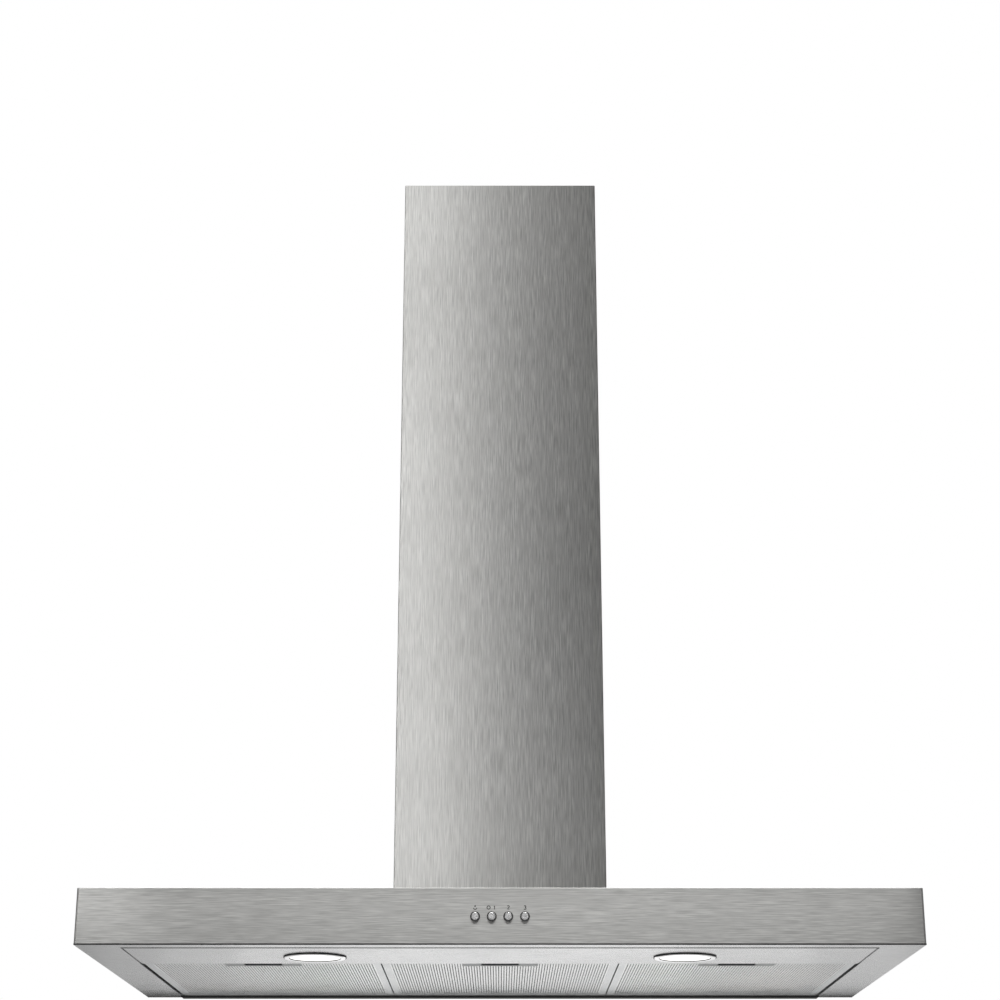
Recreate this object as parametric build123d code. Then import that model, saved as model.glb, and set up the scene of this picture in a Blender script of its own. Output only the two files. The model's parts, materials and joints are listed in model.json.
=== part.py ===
from build123d import *
import os
from math import cos, radians, tan

os.makedirs("parts", exist_ok=True)

# ------------------------------------------------------------------ driving dimensions (mm)
# X runs across the hood, -Y towards the cook, +Z up. The wall is the plane y = 0 and the
# canopy's underside is the plane z = 0.

running = 0.05  # radial clearance of a shaft in its bore
loose = 0.3  # clearance of a piece that slides or drops into place
past = 1.0  # how far a cut runs beyond the face that it opens

# canopy
canopy_width = 900.0
canopy_depth = 500.0
canopy_height = 60.0
canopy_sheet = 1.0
corner_r = 2.5
top_edge_r = 0.6
shadow_gap = 0.8  # dark slot between the front sheet and the underside frame

# underside frame
frame_sheet = 0.8
frame_setback = 0.4
frame_upstand = 12.0
side_strip = 45.5
front_return = 22.0
rear_strip = 24.0

# lamp panel
panel_gap = 1.5
panel_end_gap = 0.8
panel_edge_r = 2.0
panel_depth = 134.5
panel_upstand = 16.0
clip_end_inset = 150.0  # clip centre from the canopy's end
clip_length = 20.0
clip_lap = 3.0

# lamps
lamp_end_inset = 247.0  # lamp centre from the canopy's end
lamp_inset = 97.0  # lamp centre behind the canopy's front
lamp_flange_r = 34.0
lamp_flange = 2.0
lamp_flange_edge = 0.7
lamp_tube_r = 30.2
lamp_tube_wall = 1.2
lamp_tube_height = 10.0
lamp_lip = 0.6
lamp_lip_height = 0.8
lens_thickness = 2.0
lamp_body_height = 18.0
lamp_sink_r = 23.0
lamp_sink_height = 12.0
lamp_fin_count = 9
lamp_fin = 1.6

# grease filters
filter_count = 3
filter_gap = 1.5
filter_end_gap = 4.0  # from the outer filters to the underside frame
filter_front_gap = 1.5
filter_rear_gap = 3.0
filter_height = 9.0
filter_lift = 0.5  # filters lie this much above the underside
filter_web = 1.0
filter_lip = 0.8
filter_side_band = 8.0
filter_front_band = 3.0
filter_upper_band = 12.0
filter_rear_bar = 8.0  # solid bar ahead of the hinge axis
mesh_play = 0.2
mesh_pitch = 3.1
mesh_sheet = 0.45
mesh_layer_gap = 0.4
hook_offset = 90.0
hook_width = 8.0
hook_side_play = 2.0
hook_wall = 2.35
hook_arm = 3.0
pin_r = 1.8
notch_reach = 7.0  # from the hinge axis to the notch's front wall
rail_thickness = 3.0
rail_height = 12.0

# filter latches
cup_width = 86.0
cup_wall = 1.0
slot_width = 43.0
slot_start = 1.5
slot_depth = 18.0
tongue_width = 34.0
tongue_thickness = 1.8
tongue_reach = 4.5  # ahead of the filter's front edge
slider_width = 60.0
slider_front = 1.3
slider_rear = 14.0
slider_rib = 2.0
finger_tab_play = 1.0
latch_travel = 5.0
leaf_room = 4.0  # depth left behind the latch at the end of its travel
leaf_offset = 15.0
leaf_chord = 26.0
leaf_height = 5.0
leaf_sheet = 0.4
leaf_play = 0.1
catch_play = 3.0
catch_height_play = 1.0

# wall fixing
wall_screw_inset = 100.0  # from the canopy's end
wall_screw_rise = 26.0
wall_screw_low = 20.0
wall_screw_r = 3.2
wall_plate_thickness = 3.0
wall_plate_width = 60.0

# push buttons
button_count = 4
button_pitch = 17.6
button_height = 29.8
button_r = 4.0
button_proud = 3.0
button_edge_r = 0.6
button_travel = 2.5
button_end_play = 0.5
button_shank = 3.0
bezel_r = 5.2
bezel_hole_play = 0.1
bezel_proud = 0.8
bezel_edge_r = 0.3
bezel_flange_r = 6.4
bezel_flange = 1.0
stem_r = 2.5
collar_r = 3.7
collar_thickness = 1.5
block_width = 84.0
block_height = 24.0
block_edge_r = 1.5
block_well_play = 0.4
block_guide = 2.5
chamber_r = 4.1
chamber_length = 20.0
button_spring_r = 3.15
button_wire_r = 0.35
button_turns = 5
spring_play = 0.05
stem_tail = 12.0
board_thickness = 1.6
contact_size = 3.0
contact_width = 10.0
stud_r = 2.0
stud_offset = 38.0
stud_play = 0.2
stud_spacer = 2.0
stud_tail = 1.5
nut_flat = 7.0
nut_thickness = 3.2

# electrics under the canopy's top
driver_size = (84.0, 40.0, 24.0)
driver_edge = 2.0
driver_lamp_gap = 29.0
box_size = (104.0, 62.0, 36.0)
box_lamp_gap = 14.0
box_wall = 2.0
box_lid = 2.5
box_edge_r = 3.0
capacitor_r = 13.0
capacitor_length = 70.0
capacitor_edge_r = 1.5
tab_length = 6.0
tab_sheet = 0.8
tab_spacing = 8.0
electrics_behind_front = 62.0
cable_r = 2.5
cable_room = 2.0  # between a cable and the canopy's top
cable_lead = 20.0  # straight run where a cable leaves a piece
cable_short_lead = 14.0
cable_inset = 8.0
cable_entry = 12.0
cable_dip = 4.0
cable_rise = 30.0
cable_drop = 18.0
bend_share = 0.45  # of the shorter run, taken by an arc

# chimney
flue_width = 252.0
flue_depth = 250.0
flue_sheet = 0.8
flue_top = 1030.0
flue_return = 15.0
flue_edge_r = 1.6
inner_play = 0.6
inner_length = 480.0
inner_top_drop = 2.0
inner_return_stop = 60.0
bracket_sheet = 1.5
bracket_height = 30.0
bracket_drop = 14.0
bracket_ear = 32.0
bracket_screw_spacing = 160.0
bracket_screw_r = 3.0
foot_height = 26.0
foot_width = 30.0
foot_sheet = 1.2
foot_base = 6.0
foot_rear = 30.0  # from the wall to the foot
foot_screw_rise = 16.0
stop_height = 14.0
stop_reach = 8.0
stop_sheet = 1.5

# blower
blower_side_gap = 8.0  # to the lower cover's outside
blower_front_gap = 7.0
blower_rear_gap = 7.0  # to the wall
blower_height = 240.0
blower_sheet = 1.0
blower_flange = 20.0
scroll_width = 110.0
scroll_wall = 2.0
scroll_r = 84.0
scroll_step = 7.0
scroll_front_gap = 3.0
scroll_axis_rise = 105.0
scroll_flange = 8.0
scroll_flange_thickness = 3.0
inlet_r = 58.0
inlet_lip = 2.5
inlet_lip_length = 4.0

# motor and impeller
impeller_r = 70.0
impeller_eye_r = 58.0
impeller_end_play = 3.0
impeller_ring = 1.5
impeller_disc = 2.0
blade_count = 36
blade_thickness = 1.0
blade_angle = 35.0
blade_inset = 0.6
hub_r = 10.0
hub_length = 14.0
shaft_r = 4.0
shaft_tail = 7.0
shaft_inset = 0.5
shaft_edge = 0.5
impeller_nut_flat = 13.0
impeller_nut_thickness = 5.0
motor_r = 40.0
motor_wall = 2.0
motor_front = -8.0
motor_length = 42.0
cover_thickness = 4.0
cover_boss_r = 14.0
cover_boss = 6.0
bearing_r = 11.0
bearing_width = 7.0
seat_play = 0.02
front_wall = 3.0
stator_r = 37.6
stator_length = 27.0
stator_slots = 8
slot_size = 6.0
rotor_r = 18.0
rotor_gap = 0.6
rotor_length = 25.0
bracket_arm_count = 3
bracket_arm = 14.0
bracket_disc_r = 26.0
bracket_reach = 72.0
bracket_plate = 2.0
grommet_r = 5.0
grommet_offset = 66.0

# outlet
outlet_r = 75.0
outlet_wall = 1.2
outlet_height = 60.0
outlet_flange_r = 87.0
outlet_flange = 2.0
flap_rise = 30.0
flap_sheet = 1.0
flap_play = 1.5
flap_offset = 3.2
flap_pin_r = 1.5
knuckle_r = 2.7
knuckle_start = 4.0
knuckle_end = 60.0
knuckle_web = 0.5
flap_stop = 3.0
gland_r = 8.0
gland_edge_r = 2.0
gland_length = 14.0
gland_corner_gap = 10.0
gland_bore_r = 4.0
gland_bore_rise = 0.5
gland_neck_r = 6.0
gland_neck_length = 5.0
gland_neck_bore_r = 4.6

# screws
screw_r = 1.95
screw_head_r = 3.6
screw_head = 2.0
screw_head_edge_r = 0.8
cross_length = 4.0
cross_width = 0.8
cross_depth = 0.8
screw_length = 6.0
screw_play = 0.1

# ------------------------------------------------------------------ places worked out from them

skin_bottom = frame_sheet + shadow_gap
half_width = canopy_width / 2
front_y = -canopy_depth
inside_front = front_y + canopy_sheet
inside_top = canopy_height - canopy_sheet

opening_half = half_width - side_strip
opening_front = front_y + front_return
opening_rear = -rear_strip
panel_half = opening_half - panel_end_gap
panel_front = opening_front + panel_gap
panel_rear = panel_front + panel_depth

wall_screw_offset = half_width - wall_screw_inset
clip_offset = half_width - clip_end_inset

filter_front = panel_rear + filter_front_gap
filter_room = 2 * (opening_half - filter_end_gap) - (filter_count - 1) * filter_gap
filter_width = filter_room / filter_count
filter_pitch = filter_width + filter_gap
filter_r = filter_height / 2
filter_z = filter_lift + filter_r
filter_axis = opening_rear - filter_rear_gap - filter_r
filter_bottom = filter_lift
filter_top = filter_lift + filter_height
filter_names = ("left", "centre", "right")
filter_x = [(n - (filter_count - 1) / 2) * filter_pitch for n in range(filter_count)]

tongue_top = filter_top - filter_lip - cup_wall - 2 * mesh_play
tongue_bottom = tongue_top - tongue_thickness
tongue_tip = filter_front - tongue_reach
cup_depth = slider_rear + latch_travel + leaf_room + cup_wall

lamp_offset = half_width - lamp_end_inset
lamp_y = front_y + lamp_inset
lamp_bore_r = lamp_tube_r - lamp_tube_wall
lens_r = lamp_bore_r - loose
driver_x = -(lamp_offset - lens_r - driver_lamp_gap - driver_size[0] / 2)
box_x = lamp_offset - lens_r - box_lamp_gap - box_size[0] / 2
button_x = [(n - (button_count - 1) / 2) * button_pitch for n in range(button_count)]
button_names = ("lamp_button", "low_speed_button", "middle_speed_button", "high_speed_button")
bezel_bore_r = button_r + loose
block_front = inside_front + bezel_flange
well_end = front_y + button_shank + button_travel + button_end_play
chamber_front = well_end + block_guide
chamber_end = chamber_front + chamber_length
board_rear = chamber_end + board_thickness

flue_half = flue_width / 2
flue_bottom = canopy_height
blower_half = flue_half - blower_side_gap
blower_back = -blower_rear_gap
blower_front = -flue_depth + blower_front_gap
blower_bottom = canopy_height
blower_top = blower_bottom + blower_height

scroll_half = scroll_width / 2
axis_y = blower_front + blower_sheet + scroll_front_gap + scroll_r + scroll_step / 2
axis_z = blower_bottom + scroll_axis_rise
scroll_top = blower_top - blower_sheet
scroll_left_wall = axis_y - scroll_step / 2
scroll_right_wall = axis_y + scroll_step / 2 + scroll_r + 2 * scroll_step
outlet_y = (scroll_left_wall + scroll_right_wall) / 2
outlet_inner_r = outlet_r - outlet_wall
flap_z = blower_top + flap_rise
flap_r = outlet_inner_r - flap_play

inner_half = flue_half - flue_sheet - inner_play
inner_front = -flue_depth + flue_sheet + inner_play
inner_top = flue_top - inner_top_drop
inner_bottom = inner_top - inner_length
inner_back = -flue_sheet - inner_play


# ------------------------------------------------------------------ helpers


def block(x0, x1, y0, y1, z0, z1):
    """A box between two corners."""
    return Pos((x0 + x1) / 2, (y0 + y1) / 2, (z0 + z1) / 2) * Box(x1 - x0, y1 - y0, z1 - z0)


def rod_x(radius, x0, x1, y, z):
    """A cylinder along X."""
    return Pos((x0 + x1) / 2, y, z) * Rot(0, 90, 0) * Cylinder(radius, x1 - x0)


def rod_y(radius, y0, y1, x, z):
    """A cylinder along Y."""
    return Pos(x, (y0 + y1) / 2, z) * Rot(90, 0, 0) * Cylinder(radius, y1 - y0)


def rod_z(radius, z0, z1, x, y):
    """A cylinder along Z."""
    return Pos(x, y, (z0 + z1) / 2) * Cylinder(radius, z1 - z0)


def save(node, *shapes):
    """Write one node, which may hold several solids."""
    solids = [solid for shape in shapes for solid in shape.solids()]
    export_step(Compound(solids), f"parts/{node}.step")


def edges_at(shape, axis, x=None, y=None, z=None):
    """The straight edges along an axis whose middle lies at the stated coordinates."""
    found = shape.edges().filter_by(axis)
    for wanted, part_of in ((x, "X"), (y, "Y"), (z, "Z")):
        if wanted is not None:
            found = [e for e in found if abs(getattr(e.center(), part_of) - wanted) < 1e-3]
    return found


def rounded_front(x_half, y0, y1, z0, z1, radius):
    """A box centred on X whose two vertical front edges are rounded."""
    body = block(-x_half, x_half, y0, y1, z0, z1)
    return fillet(edges_at(body, Axis.Z, y=y0), radius)


def coil(radius, wire_r, length, turns):
    """A compression spring along +Z from the origin, with its centre line length given."""
    path = Helix(pitch=length / turns, height=length, radius=radius)
    start = Plane(origin=path @ 0, z_dir=path % 0)
    return sweep(start * Circle(wire_r), path=path)


def cable(points):
    """A cable along a route: straight runs joined by the widest tangent arcs that fit."""
    spots = [Vector(*point) for point in points]
    runs = [b - a for a, b in zip(spots, spots[1:])]
    radii = [
        bend_share * min(a.length, b.length) / tan(radians(a.get_angle(b) / 2))
        for a, b in zip(runs, runs[1:])
    ]
    path = FilletPolyline(*spots, radius=radii)
    start = Plane(origin=path @ 0, z_dir=path % 0)
    return sweep(start * Circle(cable_r), path=path)


# ------------------------------------------------------------------ canopy


def canopy_shell():
    """Folded outer sheet: front, sides, top and the rear sheet that lies on the wall."""
    outer = rounded_front(half_width, front_y, 0, skin_bottom, canopy_height, corner_r)
    top_face = outer.faces().sort_by(Axis.Z)[-1]
    top_edges = [e for e in top_face.edges() if e.center().Y < -canopy_sheet]
    outer = fillet(top_edges, top_edge_r)
    inner = rounded_front(
        half_width - canopy_sheet, inside_front, -canopy_sheet,
        skin_bottom - canopy_sheet, inside_top, corner_r - canopy_sheet,
    )
    shell = outer - inner
    shell += block(-half_width, half_width, -canopy_sheet, 0, 0, skin_bottom)
    shell -= blower_passage(inside_top - canopy_sheet, canopy_height + canopy_sheet)
    for x in button_x:
        hole_r = bezel_r + bezel_hole_play
        shell -= rod_y(hole_r, front_y - canopy_sheet, inside_front + canopy_sheet, x, button_height)
    shell -= wall_screw_holes(-2 * canopy_sheet, canopy_sheet)
    for side in (-1, 1):
        stud_end = board_rear + nut_thickness + stud_tail
        shell += rod_y(stud_r, inside_front, stud_end, side * stud_offset, button_height)
        for y in blower_screw_y():
            hole_x = side * (blower_half - blower_flange / 2)
            shell -= rod_z(screw_r + screw_play, inside_top - past, canopy_height + past, hole_x, y)
    return shell


def blower_passage(z0, z1):
    """The opening through the canopy's top into the blower box."""
    reach = blower_half - blower_flange
    return block(
        -reach, reach, blower_front + blower_flange, blower_back - blower_flange, z0, z1
    )


def wall_screw_holes(y0, y1):
    """Four holes for the screws that hold the hood on the wall."""
    holes = [
        rod_y(wall_screw_r, y0, y1, side * wall_screw_offset, wall_screw_low + rise)
        for side in (-1, 1)
        for rise in (0, wall_screw_rise)
    ]
    return Compound([hole.solids()[0] for hole in holes])


def wall_plates():
    """Stiffening plates inside the rear sheet, round the wall screws."""
    y0 = -canopy_sheet - wall_plate_thickness
    plates = []
    for side in (-1, 1):
        x = side * wall_screw_offset
        plate = block(
            x - wall_plate_width / 2, x + wall_plate_width / 2, y0, -canopy_sheet,
            frame_upstand, inside_top,
        )
        plates.append(plate - wall_screw_holes(y0 - past, 0))
    return plates


def underside_frame():
    """Sheet round the lamp panel and the filters, with folded edges inside the canopy."""
    plate = rounded_front(
        half_width - frame_setback, front_y + frame_setback, -canopy_sheet,
        0, frame_sheet, corner_r - frame_setback,
    )
    plate -= block(
        -opening_half, opening_half, opening_front, opening_rear, -past, frame_sheet + past
    )
    side, front = half_width - canopy_sheet, inside_front
    outer = rounded_front(
        side, front, -canopy_sheet, frame_sheet, frame_upstand, corner_r - canopy_sheet
    )
    core = rounded_front(
        side - frame_sheet, front + frame_sheet, -canopy_sheet - frame_sheet,
        frame_sheet - past, frame_upstand + past, corner_r - canopy_sheet - frame_sheet,
    )
    lining = block(
        -opening_half - frame_sheet, opening_half + frame_sheet,
        opening_front - frame_sheet, opening_rear, frame_sheet, frame_upstand,
    )
    lining -= block(
        -opening_half, opening_half, opening_front, opening_rear + past,
        frame_sheet - past, frame_upstand + past,
    )
    return plate + (outer - core) + lining


def lamp_panel():
    """Panel with the lamp holes; its rear fold has the windows that the latches catch in."""
    panel = block(-panel_half, panel_half, panel_front, panel_rear, 0, panel_upstand)
    panel = fillet(panel.faces().sort_by(Axis.Z)[0].edges(), panel_edge_r)
    room = block(
        -panel_half + frame_sheet, panel_half - frame_sheet,
        panel_front + frame_sheet, panel_rear - frame_sheet, frame_sheet, panel_upstand + past,
    )
    panel -= fillet(room.faces().sort_by(Axis.Z)[0].edges(), panel_edge_r - frame_sheet)
    for side in (-1, 1):
        panel -= rod_z(lamp_tube_r + loose, -past, panel_upstand, side * lamp_offset, lamp_y)
    for x in filter_x:
        half = tongue_width / 2 + catch_play
        panel -= block(
            x - half, x + half, panel_rear - 2 * frame_sheet, panel_rear + past,
            tongue_bottom - catch_height_play, tongue_top + catch_height_play,
        )
    return panel


def panel_clips():
    """Spring clips over the folds of the frame and the lamp panel."""
    clips = []
    for side in (-1, 1):
        x0 = side * clip_offset - clip_length / 2
        x1 = x0 + clip_length
        leg = block(x0, x1, opening_front, panel_front, frame_upstand - clip_lap, frame_upstand)
        over = block(
            x0, x1, opening_front - frame_sheet, panel_front,
            frame_upstand, frame_upstand + frame_sheet,
        )
        riser = block(
            x0, x1, panel_front - frame_sheet, panel_front,
            frame_upstand, panel_upstand + frame_sheet,
        )
        cap = block(
            x0, x1, panel_front - frame_sheet, panel_front + 2 * frame_sheet,
            panel_upstand, panel_upstand + frame_sheet,
        )
        clips.append(leg + over + riser + cap)
    return clips


# ------------------------------------------------------------------ lamps


def lamp_parts():
    """Bezel, lens and lamp body of each lamp."""
    bezels, lenses, bodies = [], [], []
    lens_top = -lamp_flange + lamp_lip_height + lens_thickness
    body_top = lens_top + lamp_body_height
    for side in (-1, 1):
        x = side * lamp_offset
        bezel = rod_z(lamp_flange_r, -lamp_flange, 0, x, lamp_y)
        bezel = chamfer(bezel.edges().sort_by(Axis.Z)[0], lamp_flange_edge)
        bezel += rod_z(lamp_tube_r, 0, lamp_tube_height, x, lamp_y)
        bezel -= rod_z(lamp_bore_r, -lamp_flange + lamp_lip_height, lamp_tube_height + past, x, lamp_y)
        bezel -= rod_z(lamp_bore_r - lamp_lip, -lamp_flange - past, 0, x, lamp_y)
        bezels.append(bezel)
        lenses.append(rod_z(lens_r, -lamp_flange + lamp_lip_height, lens_top, x, lamp_y))
        body = rod_z(lens_r, lens_top, body_top, x, lamp_y)
        body += rod_z(lamp_sink_r, body_top, body_top + lamp_sink_height, x, lamp_y)
        pitch = 2 * lamp_sink_r / lamp_fin_count
        for n in range(lamp_fin_count):
            groove_x = x - lamp_sink_r + n * pitch + lamp_fin
            body -= block(
                groove_x, groove_x + pitch - lamp_fin, lamp_y - lamp_sink_r, lamp_y + lamp_sink_r,
                body_top + lamp_fin, body_top + lamp_sink_height + past,
            )
        bodies.append(body)
    return bezels, lenses, bodies


# ------------------------------------------------------------------ filters and latches


def pleated_sheet(x0, x1, y0, y1, z0, z1):
    """A sheet folded to and fro, its folds running front to back."""
    folds = 2 * round((x1 - x0) / mesh_pitch)
    step = (x1 - x0) / folds
    low, high = z0, z1 - mesh_sheet
    line = [(x0 + n * step, high if n % 2 else low) for n in range(folds + 1)]
    back = [(x, z + mesh_sheet) for x, z in reversed(line)]
    section = make_face(Polyline(*line, *back, close=True))
    return Pos(0, y1, 0) * Rot(90, 0, 0) * extrude(section, y1 - y0)


def cup_space(x, play):
    """The room that a latch cup takes in a filter."""
    return block(
        x - cup_width / 2 - play, x + cup_width / 2 + play,
        filter_front - past, filter_front + cup_depth + play,
        filter_bottom - past, filter_top - filter_lip,
    )


def filter_frame(x):
    """Channel frame of one filter, with a rounded rear bar and its two hinge pins."""
    x0, x1 = x - filter_width / 2, x + filter_width / 2
    frame = block(x0, x1, filter_front, filter_axis, filter_bottom, filter_top)
    frame += rod_x(filter_r, x0, x1, filter_axis, filter_z)
    bar_front = filter_axis - filter_rear_bar
    frame -= block(
        x0 + filter_web, x1 - filter_web, filter_front + filter_web, bar_front,
        filter_bottom + filter_lip, filter_top - filter_lip,
    )
    frame -= block(
        x0 + filter_side_band, x1 - filter_side_band, filter_front + filter_front_band, bar_front,
        filter_bottom - past, filter_bottom + filter_lip,
    )
    frame -= block(
        x0 + filter_side_band, x1 - filter_side_band, filter_front + filter_upper_band, bar_front,
        filter_top - filter_lip, filter_top + past,
    )
    frame -= cup_space(x, mesh_play)
    notch = hook_width / 2 + hook_side_play
    for side in (-1, 1):
        hook_x = x + side * hook_offset
        frame -= block(
            hook_x - notch, hook_x + notch, filter_axis - notch_reach, filter_axis + filter_r + past,
            filter_bottom - past, filter_top + past,
        )
        frame += rod_x(pin_r, hook_x - notch, hook_x + notch, filter_axis, filter_z)
    return frame


def filter_mesh(x):
    """Two layers of pleated mesh held in the channel frame."""
    x0 = x - filter_width / 2 + filter_web + mesh_play
    x1 = x + filter_width / 2 - filter_web - mesh_play
    y0 = filter_front + filter_web + mesh_play
    y1 = filter_axis - filter_rear_bar - mesh_play
    z0 = filter_bottom + filter_lip + mesh_play
    z1 = filter_top - filter_lip - mesh_play
    middle = (z0 + z1) / 2
    lower = pleated_sheet(x0, x1, y0, y1, z0, middle - mesh_layer_gap / 2)
    upper = pleated_sheet(x0, x1, y0, y1, middle + mesh_layer_gap / 2, z1)
    room = cup_space(x, 2 * mesh_play) + Pos(0, 0, filter_lip) * cup_space(x, 2 * mesh_play)
    return lower - room, upper - room


def latch_cup(x):
    """Grey recess in the filter's front edge, with a finger slot below and a mouth in front."""
    half = cup_width / 2
    top = filter_top - filter_lip
    cup = block(x - half, x + half, filter_front, filter_front + cup_depth, filter_bottom, top)
    cup -= block(
        x - half + cup_wall, x + half - cup_wall,
        filter_front + cup_wall, filter_front + cup_depth - cup_wall,
        filter_bottom + cup_wall, top - cup_wall,
    )
    cup -= block(
        x - slot_width / 2, x + slot_width / 2,
        filter_front + slot_start, filter_front + slot_start + slot_depth,
        filter_bottom - past, filter_bottom + cup_wall + past,
    )
    cup -= block(
        x - tongue_width / 2 - loose, x + tongue_width / 2 + loose,
        filter_front - past, filter_front + cup_wall + past, tongue_bottom - loose, tongue_top + loose,
    )
    return cup


def latch_slider(x):
    """Sliding latch: tongue in front, and a rib whose tab fills the finger slot's depth."""
    half = slider_width / 2
    y0, y1 = filter_front + slider_front, filter_front + slider_rear
    slider = block(x - half, x + half, y0, y1, tongue_bottom, tongue_top)
    slider += block(
        x - tongue_width / 2, x + tongue_width / 2, tongue_tip, y0, tongue_bottom, tongue_top
    )
    slider += block(
        x - half, x + half, y1 - slider_rib, y1, filter_bottom + cup_wall + loose, tongue_bottom
    )
    tab_half = slot_width / 2 - finger_tab_play
    slider += block(
        x - tab_half, x + tab_half, y1 - slider_rib, y1, filter_bottom, tongue_bottom
    )
    return slider


def latch_springs(x):
    """Two bowed leaf springs between the latch and the cup's rear wall."""
    crown = filter_front + slider_rear + leaf_play + leaf_sheet / 2
    feet = filter_front + cup_depth - cup_wall - leaf_play - leaf_sheet
    z = filter_bottom + cup_wall + loose
    leaves = []
    for side in (-1, 1):
        middle = x + side * leaf_offset
        bow = ThreePointArc(
            (middle - leaf_chord / 2, feet), (middle, crown), (middle + leaf_chord / 2, feet)
        )
        leaves.append(Pos(0, 0, z) * extrude(trace(bow, leaf_sheet), leaf_height))
    return leaves


def filter_rail():
    """Bar across the rear of the underside with an open hook for each filter pin."""
    y0, y1 = opening_rear, opening_rear + rail_thickness
    rail = block(-opening_half, opening_half, y0, y1, frame_sheet, frame_sheet + rail_height)
    ring_r = pin_r + running + hook_wall
    for x in filter_x:
        for side in (-1, 1):
            x0 = x + side * hook_offset - hook_width / 2
            x1 = x0 + hook_width
            hook = rod_x(ring_r, x0, x1, filter_axis, filter_z)
            hook += block(
                x0, x1, filter_axis, y0, filter_z - hook_arm / 2, filter_z + hook_arm / 2
            )
            hook -= rod_x(pin_r + running, x0 - past, x1 + past, filter_axis, filter_z)
            mouth = pin_r + running
            hook -= block(
                x0 - past, x1 + past, filter_axis - mouth, filter_axis + mouth,
                filter_z, filter_z + ring_r + past,
            )
            rail += hook
    return rail


# ------------------------------------------------------------------ push buttons


def push_button(x):
    """Cap, shank and stem with the collar that stops it inside the block."""
    cap_end = front_y + button_shank
    cap = rod_y(button_r, front_y - button_proud, cap_end, x, button_height)
    cap = fillet(cap.edges().filter_by(GeomType.CIRCLE).sort_by(Axis.Y)[0], button_edge_r)
    collar_y = chamber_front + loose
    stem = rod_y(stem_r, cap_end, collar_y + stem_tail, x, button_height)
    collar = rod_y(collar_r, collar_y, collar_y + collar_thickness, x, button_height)
    return cap + stem + collar


def button_bezels():
    """Flanged rings that line the holes in the front sheet."""
    bezels = []
    for x in button_x:
        ring = rod_y(bezel_r, front_y - bezel_proud, inside_front, x, button_height)
        ring = fillet(ring.edges().filter_by(GeomType.CIRCLE).sort_by(Axis.Y)[0], bezel_edge_r)
        ring += rod_y(bezel_flange_r, inside_front, block_front, x, button_height)
        ring -= rod_y(bezel_bore_r, front_y - bezel_proud - past, block_front + past, x, button_height)
        bezels.append(ring)
    return bezels


def button_springs():
    """One spring round each stem, from its collar to the circuit board."""
    start = chamber_front + loose + collar_thickness + button_wire_r + spring_play
    end = chamber_end - button_wire_r - spring_play
    return [
        Pos(x, start, button_height)
        * Rot(-90, 0, 0)
        * coil(button_spring_r, button_wire_r, end - start, button_turns)
        for x in button_x
    ]


def switch_block():
    """Moulded block with a guide bore and a spring chamber for each button."""
    z0, z1 = button_height - block_height / 2, button_height + block_height / 2
    body = block(-block_width / 2, block_width / 2, block_front, chamber_end, z0, z1)
    body = fillet(edges_at(body, Axis.Y), block_edge_r)
    for x in button_x:
        body -= rod_y(button_r + block_well_play, block_front - past, well_end, x, button_height)
        body -= rod_y(stem_r + running, well_end - past, chamber_front + past, x, button_height)
        body -= rod_y(chamber_r, chamber_front, chamber_end + past, x, button_height)
    for side in (-1, 1):
        x = side * stud_offset
        body += rod_y(stud_r + stud_spacer, inside_front, block_front, x, button_height)
        body -= rod_y(stud_r + stud_play, inside_front - past, chamber_end + past, x, button_height)
    return body


def switch_board():
    """Circuit board that closes the block's rear, over the two studs."""
    z0, z1 = button_height - block_height / 2, button_height + block_height / 2
    board = block(-block_width / 2, block_width / 2, chamber_end, board_rear, z0, z1)
    for side in (-1, 1):
        x = side * stud_offset
        board -= rod_y(stud_r + stud_play, chamber_end - past, board_rear + past, x, button_height)
    for x in button_x:
        board += block(
            x - contact_width / 2, x + contact_width / 2, board_rear, board_rear + contact_size,
            button_height - contact_width / 2, button_height + contact_width / 2,
        )
    return board


def switch_nuts():
    """Hexagon nuts on the two studs."""
    nuts = []
    for side in (-1, 1):
        hexagon = RegularPolygon(nut_flat / 2, 6, major_radius=False)
        nut = extrude(hexagon - Circle(stud_r + running), nut_thickness)
        nuts.append(Pos(side * stud_offset, board_rear, button_height) * Rot(-90, 0, 0) * nut)
    return nuts


# ------------------------------------------------------------------ electrics


def under_top(x, size):
    """A box of the given size against the underside of the canopy's top."""
    y0 = front_y + electrics_behind_front
    return block(
        x - size[0] / 2, x + size[0] / 2, y0, y0 + size[1], inside_top - size[2], inside_top
    )


def lamp_driver():
    """Power supply of the lamps, with a rib each side."""
    body = under_top(driver_x, driver_size)
    return chamfer(edges_at(body, Axis.Z), driver_edge)


def terminal_box():
    """Open box for the mains terminals and the motor capacitor."""
    body = under_top(box_x, box_size)
    body = fillet(edges_at(body, Axis.Z), box_edge_r)
    y0 = front_y + electrics_behind_front
    x0, x1 = box_x - box_size[0] / 2, box_x + box_size[0] / 2
    body -= block(
        x0 + box_wall, x1 - box_wall, y0 + box_wall, y0 + box_size[1] - box_wall,
        inside_top - box_size[2] - past, inside_top - box_wall,
    )
    return body


def terminal_box_lid():
    """Lid under the terminal box, with a rim inside its walls."""
    y0 = front_y + electrics_behind_front
    x0, x1 = box_x - box_size[0] / 2, box_x + box_size[0] / 2
    bottom = inside_top - box_size[2]
    lid = block(x0, x1, y0, y0 + box_size[1], bottom - box_lid, bottom)
    inset = box_wall + loose
    rim = block(
        x0 + inset, x1 - inset, y0 + inset, y0 + box_size[1] - inset, bottom, bottom + box_lid
    )
    rim -= block(
        x0 + inset + box_wall, x1 - inset - box_wall,
        y0 + inset + box_wall, y0 + box_size[1] - inset - box_wall,
        bottom, bottom + box_lid + past,
    )
    return fillet(edges_at(lid, Axis.Z), box_edge_r) + rim


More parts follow.
